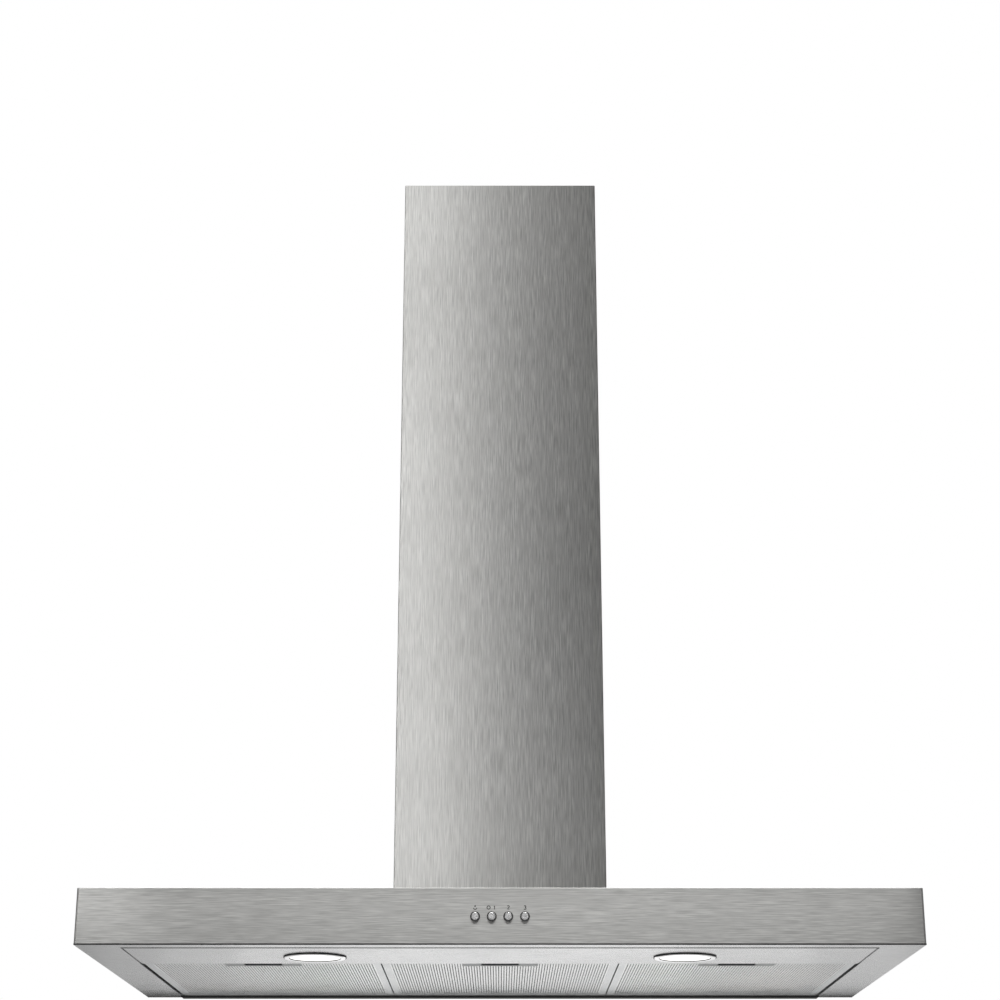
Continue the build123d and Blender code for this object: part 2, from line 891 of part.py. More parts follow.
def motor_capacitor():
    """Capacitor lying in the terminal box, against its ceiling."""
    y = front_y + electrics_behind_front + box_size[1] - box_wall - capacitor_r - loose
    z = inside_top - box_wall - capacitor_r - loose
    x0 = box_x - capacitor_length / 2
    body = rod_x(capacitor_r, x0, x0 + capacitor_length, y, z)
    body = fillet(body.edges().filter_by(GeomType.CIRCLE), capacitor_edge_r)
    tip = x0 + capacitor_length
    for side in (-1, 1):
        tab_y = y + side * tab_spacing / 2
        body += block(
            tip, tip + tab_length, tab_y - tab_sheet / 2, tab_y + tab_sheet / 2,
            z - tab_length / 2, z + tab_length / 2,
        )
    return body


# ------------------------------------------------------------------ chimney covers


def cover(x_half, y0, y1, z0, z1, radius):
    """A cover open at the wall: front, two sides and narrow folds at the rear."""
    outer = rounded_front(x_half, y0, y1, z0, z1, radius)
    core = rounded_front(
        x_half - flue_sheet, y0 + flue_sheet, y1 - flue_sheet, z0 - past, z1 + past, radius - flue_sheet
    )
    slot = x_half - flue_return
    return outer - core - block(-slot, slot, y1 - 2 * flue_sheet, y1 + past, z0 - past, z1 + past)


def side_screw_place():
    """Height and depth of the screws through the lower cover's sides."""
    return flue_bottom + foot_screw_rise, -foot_rear - foot_width / 2


def lower_flue():
    """The chimney cover that shows, standing on the canopy."""
    body = cover(flue_half, -flue_depth, 0, flue_bottom, flue_top, flue_edge_r)
    z, y = side_screw_place()
    return body - rod_x(screw_r + screw_play, -flue_half - past, flue_half + past, y, z)


def upper_flue():
    """The telescopic cover inside the lower one; its rear folds stop below the bracket."""
    body = cover(inner_half, inner_front, inner_back, inner_bottom, inner_top, flue_edge_r)
    clear = inner_half - flue_sheet
    return body - block(
        -clear, clear, inner_back - 2 * flue_sheet, inner_back + past,
        inner_top - inner_return_stop, inner_top + past,
    )


def upper_flue_bracket():
    """Wall bracket inside the upper cover, stepped to pass the lower cover's rear folds."""
    z0 = inner_top - bracket_drop - bracket_height
    side = inner_half - flue_sheet
    step_x = flue_half - flue_return - 2 * bracket_sheet
    step_y = -flue_sheet - inner_play - 2 * bracket_sheet
    base = block(-step_x, step_x, -bracket_sheet, 0, z0, z0 + bracket_height)
    for sign in (-1, 1):
        spans = (
            (step_x - bracket_sheet, step_x, step_y, 0),
            (step_x - bracket_sheet, side, step_y - bracket_sheet, step_y),
            (side - bracket_sheet, side, -bracket_ear, step_y),
        )
        for x0, x1, y0, y1 in spans:
            low, high = sorted((sign * x0, sign * x1))
            base += block(low, high, y0, y1, z0, z0 + bracket_height)
        hole_x = sign * bracket_screw_spacing / 2
        base -= rod_y(bracket_screw_r, -2 * bracket_sheet, past, hole_x, z0 + bracket_height / 2)
    return base


def flue_brackets():
    """Feet that hold the lower cover on the canopy and stops that carry the upper cover."""
    pieces = []
    z, y = side_screw_place()
    wall_x = flue_half - flue_sheet
    for sign in (-1, 1):
        low, high = sorted((sign * wall_x, sign * (wall_x - foot_sheet)))
        y0, y1 = y - foot_width / 2, y + foot_width / 2
        foot = block(low, high, y0, y1, flue_bottom, flue_bottom + foot_height)
        low, high = sorted((sign * wall_x, sign * (wall_x - foot_base)))
        foot += block(low, high, y0, y1, flue_bottom, flue_bottom + foot_sheet)
        pieces.append(foot - rod_x(screw_r + running, -flue_half, flue_half, y, z))
        low, high = sorted((sign * wall_x, sign * (wall_x - stop_reach)))
        top = inner_bottom - loose
        middle = -flue_depth / 2
        stop = block(
            low, high, middle - foot_width / 2, middle + foot_width / 2, top - stop_sheet, top
        )
        low, high = sorted((sign * wall_x, sign * (wall_x - foot_sheet)))
        stop += block(
            low, high, middle - foot_width / 2, middle + foot_width / 2, top - stop_height, top
        )
        pieces.append(stop)
    return pieces


# ------------------------------------------------------------------ blower


def blower_screw_y():
    """Depths of the screws along each side of the blower box."""
    reach = (blower_back - blower_front) / 2 - 2 * blower_flange
    middle = (blower_front + blower_back) / 2
    return middle - reach, middle + reach


def blower_box():
    """The box that the blower hangs in, open below: a top plate and four folded side sheets."""
    wall_x = blower_half - blower_sheet
    reach = blower_half - blower_flange
    floor_top = blower_bottom + blower_sheet
    top = block(-blower_half, blower_half, blower_front, blower_back, scroll_top, blower_top)
    top -= rod_z(outlet_inner_r, scroll_top - past, blower_top + past, 0, outlet_y)
    for x, y in collar_screw_places():
        top -= rod_z(screw_r + running, scroll_top - past, blower_top + past, x, y)
    gland_x, gland_y = gland_place()
    top -= rod_z(gland_neck_r + loose, scroll_top - past, blower_top + past, gland_x, gland_y)
    sheets = [top]
    for side in (-1, 1):
        low, high = sorted((side * wall_x, side * blower_half))
        sheet = block(low, high, blower_front, blower_back, blower_bottom, scroll_top)
        low, high = sorted((side * reach, side * wall_x))
        sheet += block(low, high, blower_front, blower_back, blower_bottom, floor_top)
        for y in blower_screw_y():
            x = side * (blower_half - blower_flange / 2)
            sheet -= rod_z(screw_r + running, blower_bottom - past, floor_top + past, x, y)
        sheets.append(sheet)
    for outer, inward in ((blower_front, 1), (blower_back, -1)):
        low, high = sorted((outer, outer + inward * blower_sheet))
        sheet = block(-wall_x, wall_x, low, high, blower_bottom, scroll_top)
        low, high = sorted((outer, outer + inward * blower_flange))
        sheets.append(sheet + block(-reach, reach, low, high, blower_bottom, floor_top))
    return sheets


def scroll_region(inset):
    """The spiral of the scroll seen along X: three quarter circles and the outlet's walls."""
    a = scroll_step / 2
    first = Vector(axis_y - a, axis_z - a)
    second = Vector(axis_y + a, axis_z - a)
    third = Vector(axis_y + a, axis_z + a)
    radii = [scroll_r + n * scroll_step - inset for n in range(3)]
    arcs = [
        CenterArc(first, radii[0], 90, 90),
        CenterArc(second, radii[1], 180, 90),
        CenterArc(third, radii[2], 270, 90),
    ]
    start, end = arcs[0] @ 0, arcs[2] @ 1
    corner = Vector(end.X, start.Y)
    body = make_face(arcs + [Line(end, corner), Line(corner, start)])
    left = scroll_left_wall + inset
    duct = Polyline(
        (left, start.Y - past), (end.X, start.Y - past), (end.X, scroll_top), (left, scroll_top),
        close=True,
    )
    return body, make_face(duct)


def along_x(face, x0, x1):
    """Extrude a face drawn in (Y, Z) from x0 to x1."""
    return Pos(x0, 0, 0) * Rot(0, 0, 90) * Rot(90, 0, 0) * extrude(face, x1 - x0)


def scroll_half_shell(side):
    """One half of the scroll, open where it meets the other half."""
    low, high = sorted((0, side * scroll_half))
    inner_low, inner_high = sorted((-side, side * (scroll_half - scroll_wall)))
    shell = along_x(scroll_region(0)[0], low, high) + along_x(scroll_region(0)[1], low, high)
    y0, y1 = scroll_left_wall - scroll_flange, scroll_right_wall + scroll_flange
    flange_x = side * (scroll_half + scroll_flange)
    flange_low, flange_high = sorted((0, flange_x))
    shell += block(
        flange_low, flange_high, y0, y1, scroll_top - scroll_flange_thickness, scroll_top
    )
    lip_low, lip_high = sorted((side * scroll_half, side * (scroll_half + inlet_lip_length)))
    shell += rod_x(inlet_r + inlet_lip, lip_low, lip_high, axis_y, axis_z)
    for region in scroll_region(scroll_wall):
        shell -= along_x(region, inner_low, inner_high)
    top_y0, top_y1 = scroll_left_wall + scroll_wall, scroll_right_wall - scroll_wall
    shell -= block(
        inner_low, inner_high, top_y0, top_y1, scroll_top - 2 * scroll_flange_thickness,
        scroll_top + past,
    )
    eye = (side * (scroll_half - 2 * scroll_wall), side * (scroll_half + 2 * inlet_lip_length))
    shell -= rod_x(inlet_r, min(eye), max(eye), axis_y, axis_z)
    for x, y in collar_screw_places():
        shell -= rod_z(
            screw_r + running, scroll_top - scroll_flange_thickness - past, scroll_top + past, x, y
        )
    return shell


def impeller():
    """Drum of forward-curved blades on a middle disc, with a hub and two end rings."""
    half = scroll_half - scroll_wall - impeller_end_play
    middle = rod_x(impeller_r, -impeller_disc / 2, impeller_disc / 2, axis_y, axis_z)
    middle += rod_x(hub_r, -impeller_disc / 2, hub_length, axis_y, axis_z)
    rings = []
    for x0, x1 in ((-half, -half + impeller_ring), (half - impeller_ring, half)):
        ring = rod_x(impeller_r, x0, x1, axis_y, axis_z)
        rings.append(ring - rod_x(impeller_eye_r, x0 - past, x1 + past, axis_y, axis_z))
    chord = (impeller_r - impeller_eye_r - 2 * blade_inset) / cos(radians(blade_angle))
    blades = []
    for n in range(blade_count):
        turn = 360 * n / blade_count
        blade = Box(2 * half, blade_thickness, chord)
        blade = Pos(0, 0, (impeller_r + impeller_eye_r) / 2) * Rot(blade_angle, 0, 0) * blade
        blades.append(Pos(0, axis_y, axis_z) * Rot(turn, 0, 0) * blade)
    wheel = middle + rings + blades
    return wheel - rod_x(shaft_r + seat_play, -half, half, axis_y, axis_z)


def motor_parts():
    """Housing, end cover, stator, rotor, shaft and bearings of the motor, by node."""
    right = motor_front
    left = right - motor_length
    boss_left = left - cover_thickness - cover_boss

    def ring(outer, inner, x0, x1):
        bore = rod_x(inner, x0 - past, x1 + past, axis_y, axis_z)
        return rod_x(outer, x0, x1, axis_y, axis_z) - bore

    housing = rod_x(motor_r, left, right, axis_y, axis_z)
    housing -= rod_x(motor_r - motor_wall, left - past, right - front_wall, axis_y, axis_z)
    front_boss_left = right - bearing_width
    housing += rod_x(cover_boss_r, front_boss_left, right, axis_y, axis_z)
    housing -= rod_x(bearing_r, front_boss_left - past, right + past, axis_y, axis_z)

    cover_plate = rod_x(motor_r, left - cover_thickness, left, axis_y, axis_z)
    cover_plate += rod_x(cover_boss_r, boss_left, left, axis_y, axis_z)
    cover_plate -= rod_x(bearing_r, left - bearing_width, left + past, axis_y, axis_z)

    stator_mid = (left + front_boss_left) / 2
    stator = ring(
        stator_r, rotor_r + rotor_gap, stator_mid - stator_length / 2, stator_mid + stator_length / 2
    )
    for n in range(stator_slots):
        slot = Pos(stator_mid, 0, 0) * Box(
            stator_length + 2 * past, slot_size, slot_size
        ).moved(Pos(0, 0, rotor_r + slot_size))
        stator -= Pos(0, axis_y, axis_z) * Rot(360 * n / stator_slots, 0, 0) * slot

    rotor = ring(
        rotor_r, shaft_r + seat_play, stator_mid - rotor_length / 2, stator_mid + rotor_length / 2
    )
    shaft_left = left - bearing_width + shaft_inset
    shaft = rod_x(shaft_r, shaft_left, hub_length + shaft_tail, axis_y, axis_z)
    shaft = chamfer(shaft.edges().filter_by(GeomType.CIRCLE), shaft_edge)
    bearings = [
        ring(bearing_r - seat_play, shaft_r + running, x0, x0 + bearing_width)
        for x0 in (left - bearing_width, front_boss_left)
    ]
    hexagon = RegularPolygon(impeller_nut_flat / 2, 6, major_radius=False)
    nut = extrude(hexagon - Circle(shaft_r + seat_play), impeller_nut_thickness)
    nut = Pos(hub_length, axis_y, axis_z) * Rot(0, 90, 0) * nut
    return {
        "motor_housing": [housing],
        "motor_end_cover": [cover_plate],
        "motor_stator": [stator],
        "motor_bearings": bearings,
        "motor_rotor": [rotor],
        "motor_shaft": [shaft],
        "impeller_nut": [nut],
    }, boss_left


def motor_bracket(boss_left):
    """Plate with arms, the first upright, that carries the motor in the scroll's left inlet."""
    x0, x1 = boss_left - bracket_plate, boss_left
    plate = rod_x(bracket_disc_r, x0, x1, axis_y, axis_z)
    grommets = []
    for n in range(bracket_arm_count):
        turn = n * 360 / bracket_arm_count
        arm = Pos((x0 + x1) / 2, 0, bracket_reach / 2) * Box(
            bracket_plate, bracket_arm, bracket_reach
        )
        plate += Pos(0, axis_y, axis_z) * Rot(turn, 0, 0) * arm
        spot = Pos(0, axis_y, axis_z) * Rot(turn, 0, 0) * Pos(0, 0, grommet_offset)
        foot = Rot(0, 90, 0) * Cylinder(grommet_r, -scroll_half - boss_left)
        foot = Pos((boss_left - scroll_half) / 2, 0, 0) * foot
        grommets.append(spot * foot)
    return plate, grommets


# ------------------------------------------------------------------ outlet


def collar_screw_places():
    """Screws through the collar's flange, the blower box and the scroll's flange."""
    reach = scroll_half + scroll_flange / 2
    across = (scroll_right_wall - scroll_left_wall) / 2 + scroll_flange / 2
    return [(sx * reach, outlet_y + sy * across) for sx in (-1, 1) for sy in (-1, 1)]


def gland_place():
    """Place of the cable gland in the blower box's top."""
    inset = gland_r + gland_corner_gap
    return blower_half - inset, blower_front + inset


def outlet_collar():
    """Round spigot for the exhaust duct, with flap stops inside, and its two flap pins."""
    body = rod_z(outlet_flange_r, blower_top, blower_top + outlet_flange, 0, outlet_y)
    body += rod_z(outlet_r, blower_top, blower_top + outlet_height, 0, outlet_y)
    body -= rod_z(
        outlet_inner_r, blower_top - past, blower_top + outlet_height + past, 0, outlet_y
    )
    pins = []
    for sign in (-1, 1):
        tip = outlet_y + sign * (outlet_inner_r - flap_stop)
        low, high = sorted((tip, outlet_y + sign * (outlet_inner_r + outlet_wall / 2)))
        top = flap_z - flap_sheet / 2 - loose
        body += block(-flap_stop, flap_stop, low, high, top - flap_stop, top)
        pin_y = outlet_y + sign * flap_offset
        body -= rod_x(flap_pin_r + seat_play, -outlet_r, outlet_r, pin_y, flap_z)
        reach = (outlet_inner_r**2 - flap_offset**2) ** 0.5 + outlet_wall / 2
        pins.append(rod_x(flap_pin_r, -reach, reach, pin_y, flap_z))
    for x, y in collar_screw_places():
        body -= rod_z(
            screw_r + screw_play, blower_top - past, blower_top + outlet_flange + past, x, y
        )
    return [body, *pins]


def damper_flap(sign):
    """Half-round backdraft flap with the knuckle that turns on its pin."""
    pin_y = outlet_y + sign * flap_offset
    low_z, high_z = flap_z - flap_sheet / 2, flap_z + flap_sheet / 2
    disc = rod_z(flap_r, low_z, high_z, 0, outlet_y)
    low, high = sorted((pin_y + sign * flap_sheet / 2, outlet_y + sign * 2 * outlet_r))
    flap = disc & block(-outlet_r, outlet_r, low, high, low_z - past, high_z + past)
    flap -= block(
        -outlet_r, outlet_r, pin_y - knuckle_r, pin_y + knuckle_r, low_z - past, high_z + past
    )
    for side in (-1, 1):
        x0, x1 = sorted((side * knuckle_start, side * knuckle_end))
        knuckle = rod_x(knuckle_r, x0, x1, pin_y, flap_z)
        y0, y1 = sorted((pin_y, pin_y + sign * (knuckle_r + knuckle_web)))
        knuckle += block(x0, x1, y0, y1, low_z, high_z)
        bore = rod_x(flap_pin_r + running, x0 - past, x1 + past, pin_y, flap_z)
        flap += knuckle - bore
    return flap


def cable_gland():
    """Gland in the blower box's top that the mains cable would pass."""
    x, y = gland_place()
    top = blower_top + gland_length
    neck_bottom = blower_top - gland_neck_length
    body = rod_z(gland_r, blower_top, top, x, y)
    body = fillet(body.edges().filter_by(GeomType.CIRCLE).sort_by(Axis.Z)[-1], gland_edge_r)
    body += rod_z(gland_neck_r, neck_bottom, blower_top, x, y)
    body -= rod_z(gland_bore_r, blower_top, top + past, x, y)
    return body - rod_z(gland_neck_bore_r, neck_bottom - past, blower_top + gland_bore_rise, x, y)


# ------------------------------------------------------------------ screws


def pan_screw(length):
    """A pan-head screw along -Z, its head's seat at the origin."""
    head = Pos(0, 0, screw_head / 2) * Cylinder(screw_head_r, screw_head)
    head = fillet(head.edges().filter_by(GeomType.CIRCLE).sort_by(Axis.Z)[-1], screw_head_edge_r)
    slot = Box(cross_length, cross_width, 2 * cross_depth)
    slot += Box(cross_width, cross_length, 2 * cross_depth)
    shank = Pos(0, 0, -length / 2) * Cylinder(screw_r, length)
    return head + shank - Pos(0, 0, screw_head) * slot


def housing_screws():
    """The equal screws of the lower cover, the blower box and the collar."""
    screw = pan_screw(screw_length)
    z, y = side_screw_place()
    placed = [Pos(side * flue_half, y, z) * Rot(0, 90 * side, 0) * screw for side in (-1, 1)]
    for side in (-1, 1):
        for screw_y in blower_screw_y():
            x = side * (blower_half - blower_flange / 2)
            placed.append(Pos(x, screw_y, blower_bottom + blower_sheet) * screw)
    for x, screw_y in collar_screw_places():
        placed.append(Pos(x, screw_y, blower_top + outlet_flange) * screw)
    return placed


# ------------------------------------------------------------------ wiring


def wiring():
    """Inner cables between the driver, the lamps, the switch, the terminal box and the motor."""
    lamp_top = -lamp_flange + lamp_lip_height + lens_thickness + lamp_body_height + lamp_sink_height
    bay_y = front_y + electrics_behind_front
    high_z = inside_top - cable_r - cable_room
    driver_y = bay_y + driver_size[1] / 2
    driver_left = driver_x - driver_size[0] / 2
    driver_right = driver_x + driver_size[0] / 2
    box_left, box_right = box_x - box_size[0] / 2, box_x + box_size[0] / 2
    box_back = bay_y + box_size[1]
    contact = board_rear + contact_size
    front_lane = (board_rear + bay_y) / 2 + cable_r
    mouth_y = blower_front + blower_flange
    chamber_x = -(scroll_half + blower_half) / 2
    cover_face = motor_front - motor_length - cover_thickness
    motor_z = axis_z - (motor_r + cover_boss_r) / 2 - cable_r
    left_lamp = [
        (driver_left, driver_y, high_z),
        (driver_left - cable_lead, driver_y, high_z),
        (-lamp_offset, lamp_y, high_z),
        (-lamp_offset, lamp_y, lamp_top),
    ]
    right_lamp = [
        (driver_right, bay_y + cable_inset, high_z),
        (driver_right + cable_lead, bay_y + cable_inset, high_z),
        (box_left - cable_rise, front_lane, high_z),
        (box_right + 2 * cable_r, front_lane, high_z),
        (lamp_offset, (front_lane + lamp_y) / 2, high_z),
        (lamp_offset, lamp_y, high_z - cable_dip / 2),
        (lamp_offset, lamp_y, lamp_top),
    ]
    switch = [
        (button_x[-1], contact, button_height),
        (button_x[-1], contact + cable_short_lead, button_height),
        (box_left + cable_entry, front_lane, button_height + cable_dip),
        (box_left + cable_entry, bay_y, button_height + cable_dip),
    ]
    supply = [
        (driver_right, driver_y + cable_inset, high_z),
        (driver_right + cable_lead, driver_y + cable_inset, high_z),
        ((driver_right + box_left) / 2, driver_y + cable_short_lead, high_z - cable_dip),
        (box_left - cable_lead, driver_y + cable_inset, high_z),
        (box_left, driver_y + cable_inset, high_z),
    ]
    motor = [
        (box_left + cable_lead, box_back, high_z - cable_dip),
        (box_left + cable_lead, box_back + cable_lead, high_z - cable_dip),
        (0, (box_back + mouth_y) / 2, high_z - cable_dip / 2),
        (chamber_x / 2, mouth_y - cable_short_lead, high_z - cable_dip),
        (chamber_x, mouth_y + cable_lead, high_z - cable_dip / 2),
        (chamber_x, mouth_y + 2 * cable_lead, high_z + cable_rise),
        (chamber_x, axis_y, motor_z - cable_drop),
        (chamber_x + cable_r, axis_y, motor_z),
        (cover_face, axis_y, motor_z),
    ]
    return [cable(route) for route in (left_lamp, right_lamp, switch, supply, motor)]


# ------------------------------------------------------------------ write the nodes

save("canopy_shell", canopy_shell())
save("underside_frame", underside_frame())
save("lamp_panel", lamp_panel())
save("panel_clips", *panel_clips())
save("wall_plates", *wall_plates())
save("filter_rail", filter_rail())
bezel_solids, lens_solids, lamp_solids = lamp_parts()
save("lamp_bezels", *bezel_solids)
save("lamp_lenses", *lens_solids)
save("lamp_bodies", *lamp_solids)
save("lamp_driver", lamp_driver())
save("terminal_box", terminal_box())
save("terminal_box_lid", terminal_box_lid())
save("motor_capacitor", motor_capacitor())
save("button_bezels", *button_bezels())
save("button_springs", *button_springs())
save("switch_block", switch_block())
save("switch_board", switch_board())
save("switch_nuts", *switch_nuts())
for button_name, centre_x in zip(button_names, button_x):
    save(button_name, push_button(centre_x))
for side_name, centre_x in zip(filter_names, filter_x):
    save(f"filter_frame_{side_name}", filter_frame(centre_x))
    save(f"filter_mesh_{side_name}", *filter_mesh(centre_x))
    save(f"latch_cup_{side_name}", latch_cup(centre_x))
    save(f"latch_springs_{side_name}", *latch_springs(centre_x))
    save(f"filter_latch_{side_name}", latch_slider(centre_x))
save("blower_box", *blower_box())
save("scroll_left", scroll_half_shell(-1))
save("scroll_right", scroll_half_shell(1))
save("impeller", impeller())
motor_nodes, bracket_x = motor_parts()
for node_name, node_solids in motor_nodes.items():
    save(node_name, *node_solids)
bracket_solid, grommet_solids = motor_bracket(bracket_x)
save("motor_bracket", bracket_solid)
save("motor_grommets", *grommet_solids)
save("outlet_collar", *outlet_collar())
save("flap_front", damper_flap(-1))
save("flap_rear", damper_flap(1))
save("cable_gland", cable_gland())
save("lower_flue", lower_flue())
save("flue_brackets", *flue_brackets())
save("upper_flue", upper_flue())
save("upper_flue_bracket", upper_flue_bracket())
save("housing_screws", *housing_screws())
save("wiring", *wiring())
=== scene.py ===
import json
from math import cos, pi, radians, sin

import bmesh
import bpy
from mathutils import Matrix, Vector


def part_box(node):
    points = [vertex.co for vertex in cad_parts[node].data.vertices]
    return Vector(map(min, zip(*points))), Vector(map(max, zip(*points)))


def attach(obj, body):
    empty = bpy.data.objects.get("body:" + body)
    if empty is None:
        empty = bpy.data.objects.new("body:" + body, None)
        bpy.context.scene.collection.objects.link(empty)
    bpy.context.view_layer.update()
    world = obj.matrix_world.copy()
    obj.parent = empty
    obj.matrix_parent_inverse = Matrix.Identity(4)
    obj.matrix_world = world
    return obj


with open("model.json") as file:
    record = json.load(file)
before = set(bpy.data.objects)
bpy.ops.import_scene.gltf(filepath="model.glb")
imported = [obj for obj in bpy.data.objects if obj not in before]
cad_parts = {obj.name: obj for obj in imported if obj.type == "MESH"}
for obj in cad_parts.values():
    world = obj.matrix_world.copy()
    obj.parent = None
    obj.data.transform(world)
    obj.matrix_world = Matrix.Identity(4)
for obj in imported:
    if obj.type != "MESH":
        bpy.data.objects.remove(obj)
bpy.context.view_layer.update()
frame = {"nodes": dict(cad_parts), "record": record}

# Everything is in metres: X runs across the hood, -Y towards the cook, +Z up, wall at y = 0.

# ------------------------------------------------------------------ camera and studio

CAMERA_PLACE = (0.0, -2.740, -0.297)
CAMERA_PITCH = 19.53  # degrees above the horizontal
CAMERA_LENS = 75.5  # millimetres
SUN_SOURCE = (0.05, -0.57, 0.82)  # the way to the sun
SUN_STRENGTH = 0.60
SUN_ANGLE = 4.0  # degrees across
FLAG_LOW = (-0.60, 0.030, -0.022)  # two corners of the black flag behind the wall plane
FLAG_HIGH = (0.60, 0.032, 0.0)
BACK_CARDS = (  # from x, to x, radiance: they overlap, so the underside fades towards its ends
    (-1.10, 1.10, 0.09),
    (-0.63, 0.80, 0.15),
    (-0.54, 0.66, 0.18),
    (-0.42, 0.50, 0.19),
    (-0.26, 0.30, 0.16),
)
BACK_Y = 0.60
BACK_STEP = 0.02  # between one card and the next, so that their light adds up
BACK_Z = -0.325
BACK_HEIGHT = 0.46
BACK_AIM_Y = -1.0  # the cards face forwards, along -Y
FLOOR_Z = -0.72
FLOOR_SIZE = 60.0

# Softboxes: place, what it is aimed at, width, height, radiance, and spread in degrees.
LEFT_STRIP = ((-0.15, -0.49, 0.74), (-0.15, -0.25, 0.74), 0.10, 1.30, 4.0, 180.0)
BROW_STRIP = ((-0.055, -0.555, 0.114), (-0.055, -0.53, 0.03), 1.00, 0.02, 2.05, 80.0)
FRONT_CARD = ((0.0, -2.80, 0.365), (0.0, -0.50, 0.03), 0.45, 0.40, 1.30, 180.0)
CORNER_STRIP = ((-0.46, -0.55, 0.105), (-0.45, -0.52, 0.045), 0.14, 0.02, 1.1, 80.0)
EDGE_STRIP = ((0.02, -0.47, 0.16), (0.02, -0.50, 0.06), 0.94, 0.02, 2.2, 60.0)

# The world's light, as ramps: a direction's axis, start and end on it, strength at either end.
LIGHT_AROUND = ("Y", -0.95, -0.2, 0.02, 0.12)
LIGHT_ABOVE = ("Z", 0.5, 0.9, 0.0, 0.12)
LIGHT_BEHIND = ("Y", 0.2, 0.8, 0.0, 0.22)
WHITE = (1.0, 1.0, 1.0, 1.0)

# ------------------------------------------------------------------ sizes of the added pieces

MESH_STRAND = 0.00205  # width of an expanded-metal strand
MESH_THICKNESS = 0.00025
MESH_FOLDS = 85  # pleats across one filter, each with a strand below its ridge
MESH_HALF_CELL = 0.0062  # along a strand, from one sway to the next
MESH_SWAY = 0.00022  # to either side of the strand's line
MESH_CLEAR = 0.00012  # below the pleated layers
MESH_LINK = 0.0008  # length of the bridges between strands
MESH_LINK_STEP = 4  # half cells from one bridge to the next
UNDERSIDE_Z = 0.0  # lower face of the underside frame
FRAME_SHEET = 0.0008  # thickness of the underside frame's sheet
SKIN_BOTTOM = 0.0016  # lower edge of the canopy's front and side sheets
# The black strip in the slot under the front sheet is painted shade for the shadow gap there.
SHADE_STRIP_SETBACK = 0.0004  # from the frame's edge to the black strip inside the slot
SHADE_STRIP_WALL = 0.0006  # thickness of the front black strip inside its slot
SHADE_STRIP_REAR = -0.004  # where the front black strip's sides end, before the wall
SHADE_STRIP_LAP = 0.00025  # lip of the front black strip over the edge of the underside frame
SHADE_STRIP_RISE = 0.0003  # lip's lower edge above the frame's lower face
# The black bead between the front return and the lamp panel is painted shade for the shadowed gap
# there.
PANEL_SHADE_WIDTH = 0.0009
PANEL_SHADE_DROP = 0.00045  # below the lamp panel's face
# The black strip under the rear of the frame is painted shade for the dark band along the hood's
# rear edge.
REAR_SHADE_DEPTH = 0.0225
REAR_SHADE_DROP = 0.0017
# The black rings round the lenses are painted shade for the shadow of the bezels' lips.
LENS_SHADE_WALL = 0.0004
LENS_LIP = 0.0003  # lens edge that the bezel's lip covers
GASKET_PLAY = 0.00005  # between a bezel and its gasket
GASKET_WALL = 0.0005
GASKET_RISE = 0.0006  # its lower edge above the bezel's face
PRINT_THICKNESS = 0.00004
PRINT_HEIGHT = 0.0040
PRINT_STROKE = 0.00085
PRINT_RISE = 0.0093  # icon centre above the button's centre
BULB_RADIUS = PRINT_STROKE * 0.53  # so small that its ring of one stroke looks filled
OFF_RING_SHIFT = -0.0033  # from the first speed button's centre
FIGURE_ONE_SHIFT = 0.0030
RING_SIDES = 72  # of the rubber rings' circles


# ------------------------------------------------------------------ node trees

MIX_FACTOR = 0  # a Mix node's sockets are found by number, because their names repeat
VECTOR_FIRST, VECTOR_SECOND, VECTOR_RESULT = 4, 5, 1
COLOUR_FIRST, COLOUR_SECOND, COLOUR_RESULT = 6, 7, 2


def feed(tree, socket, value):
    """Link a socket to another one, or set its value."""
    if isinstance(value, bpy.types.NodeSocket):
        tree.links.new(value, socket)
    else:
        socket.default_value = value


def add_node(tree, kind, inputs, **settings):
    """A new shader node with its settings and inputs."""
    node = tree.nodes.new("ShaderNode" + kind)
    for name, value in settings.items():
        setattr(node, name, value)
    for name, value in inputs.items():
        feed(tree, node.inputs[name], value)
    return node


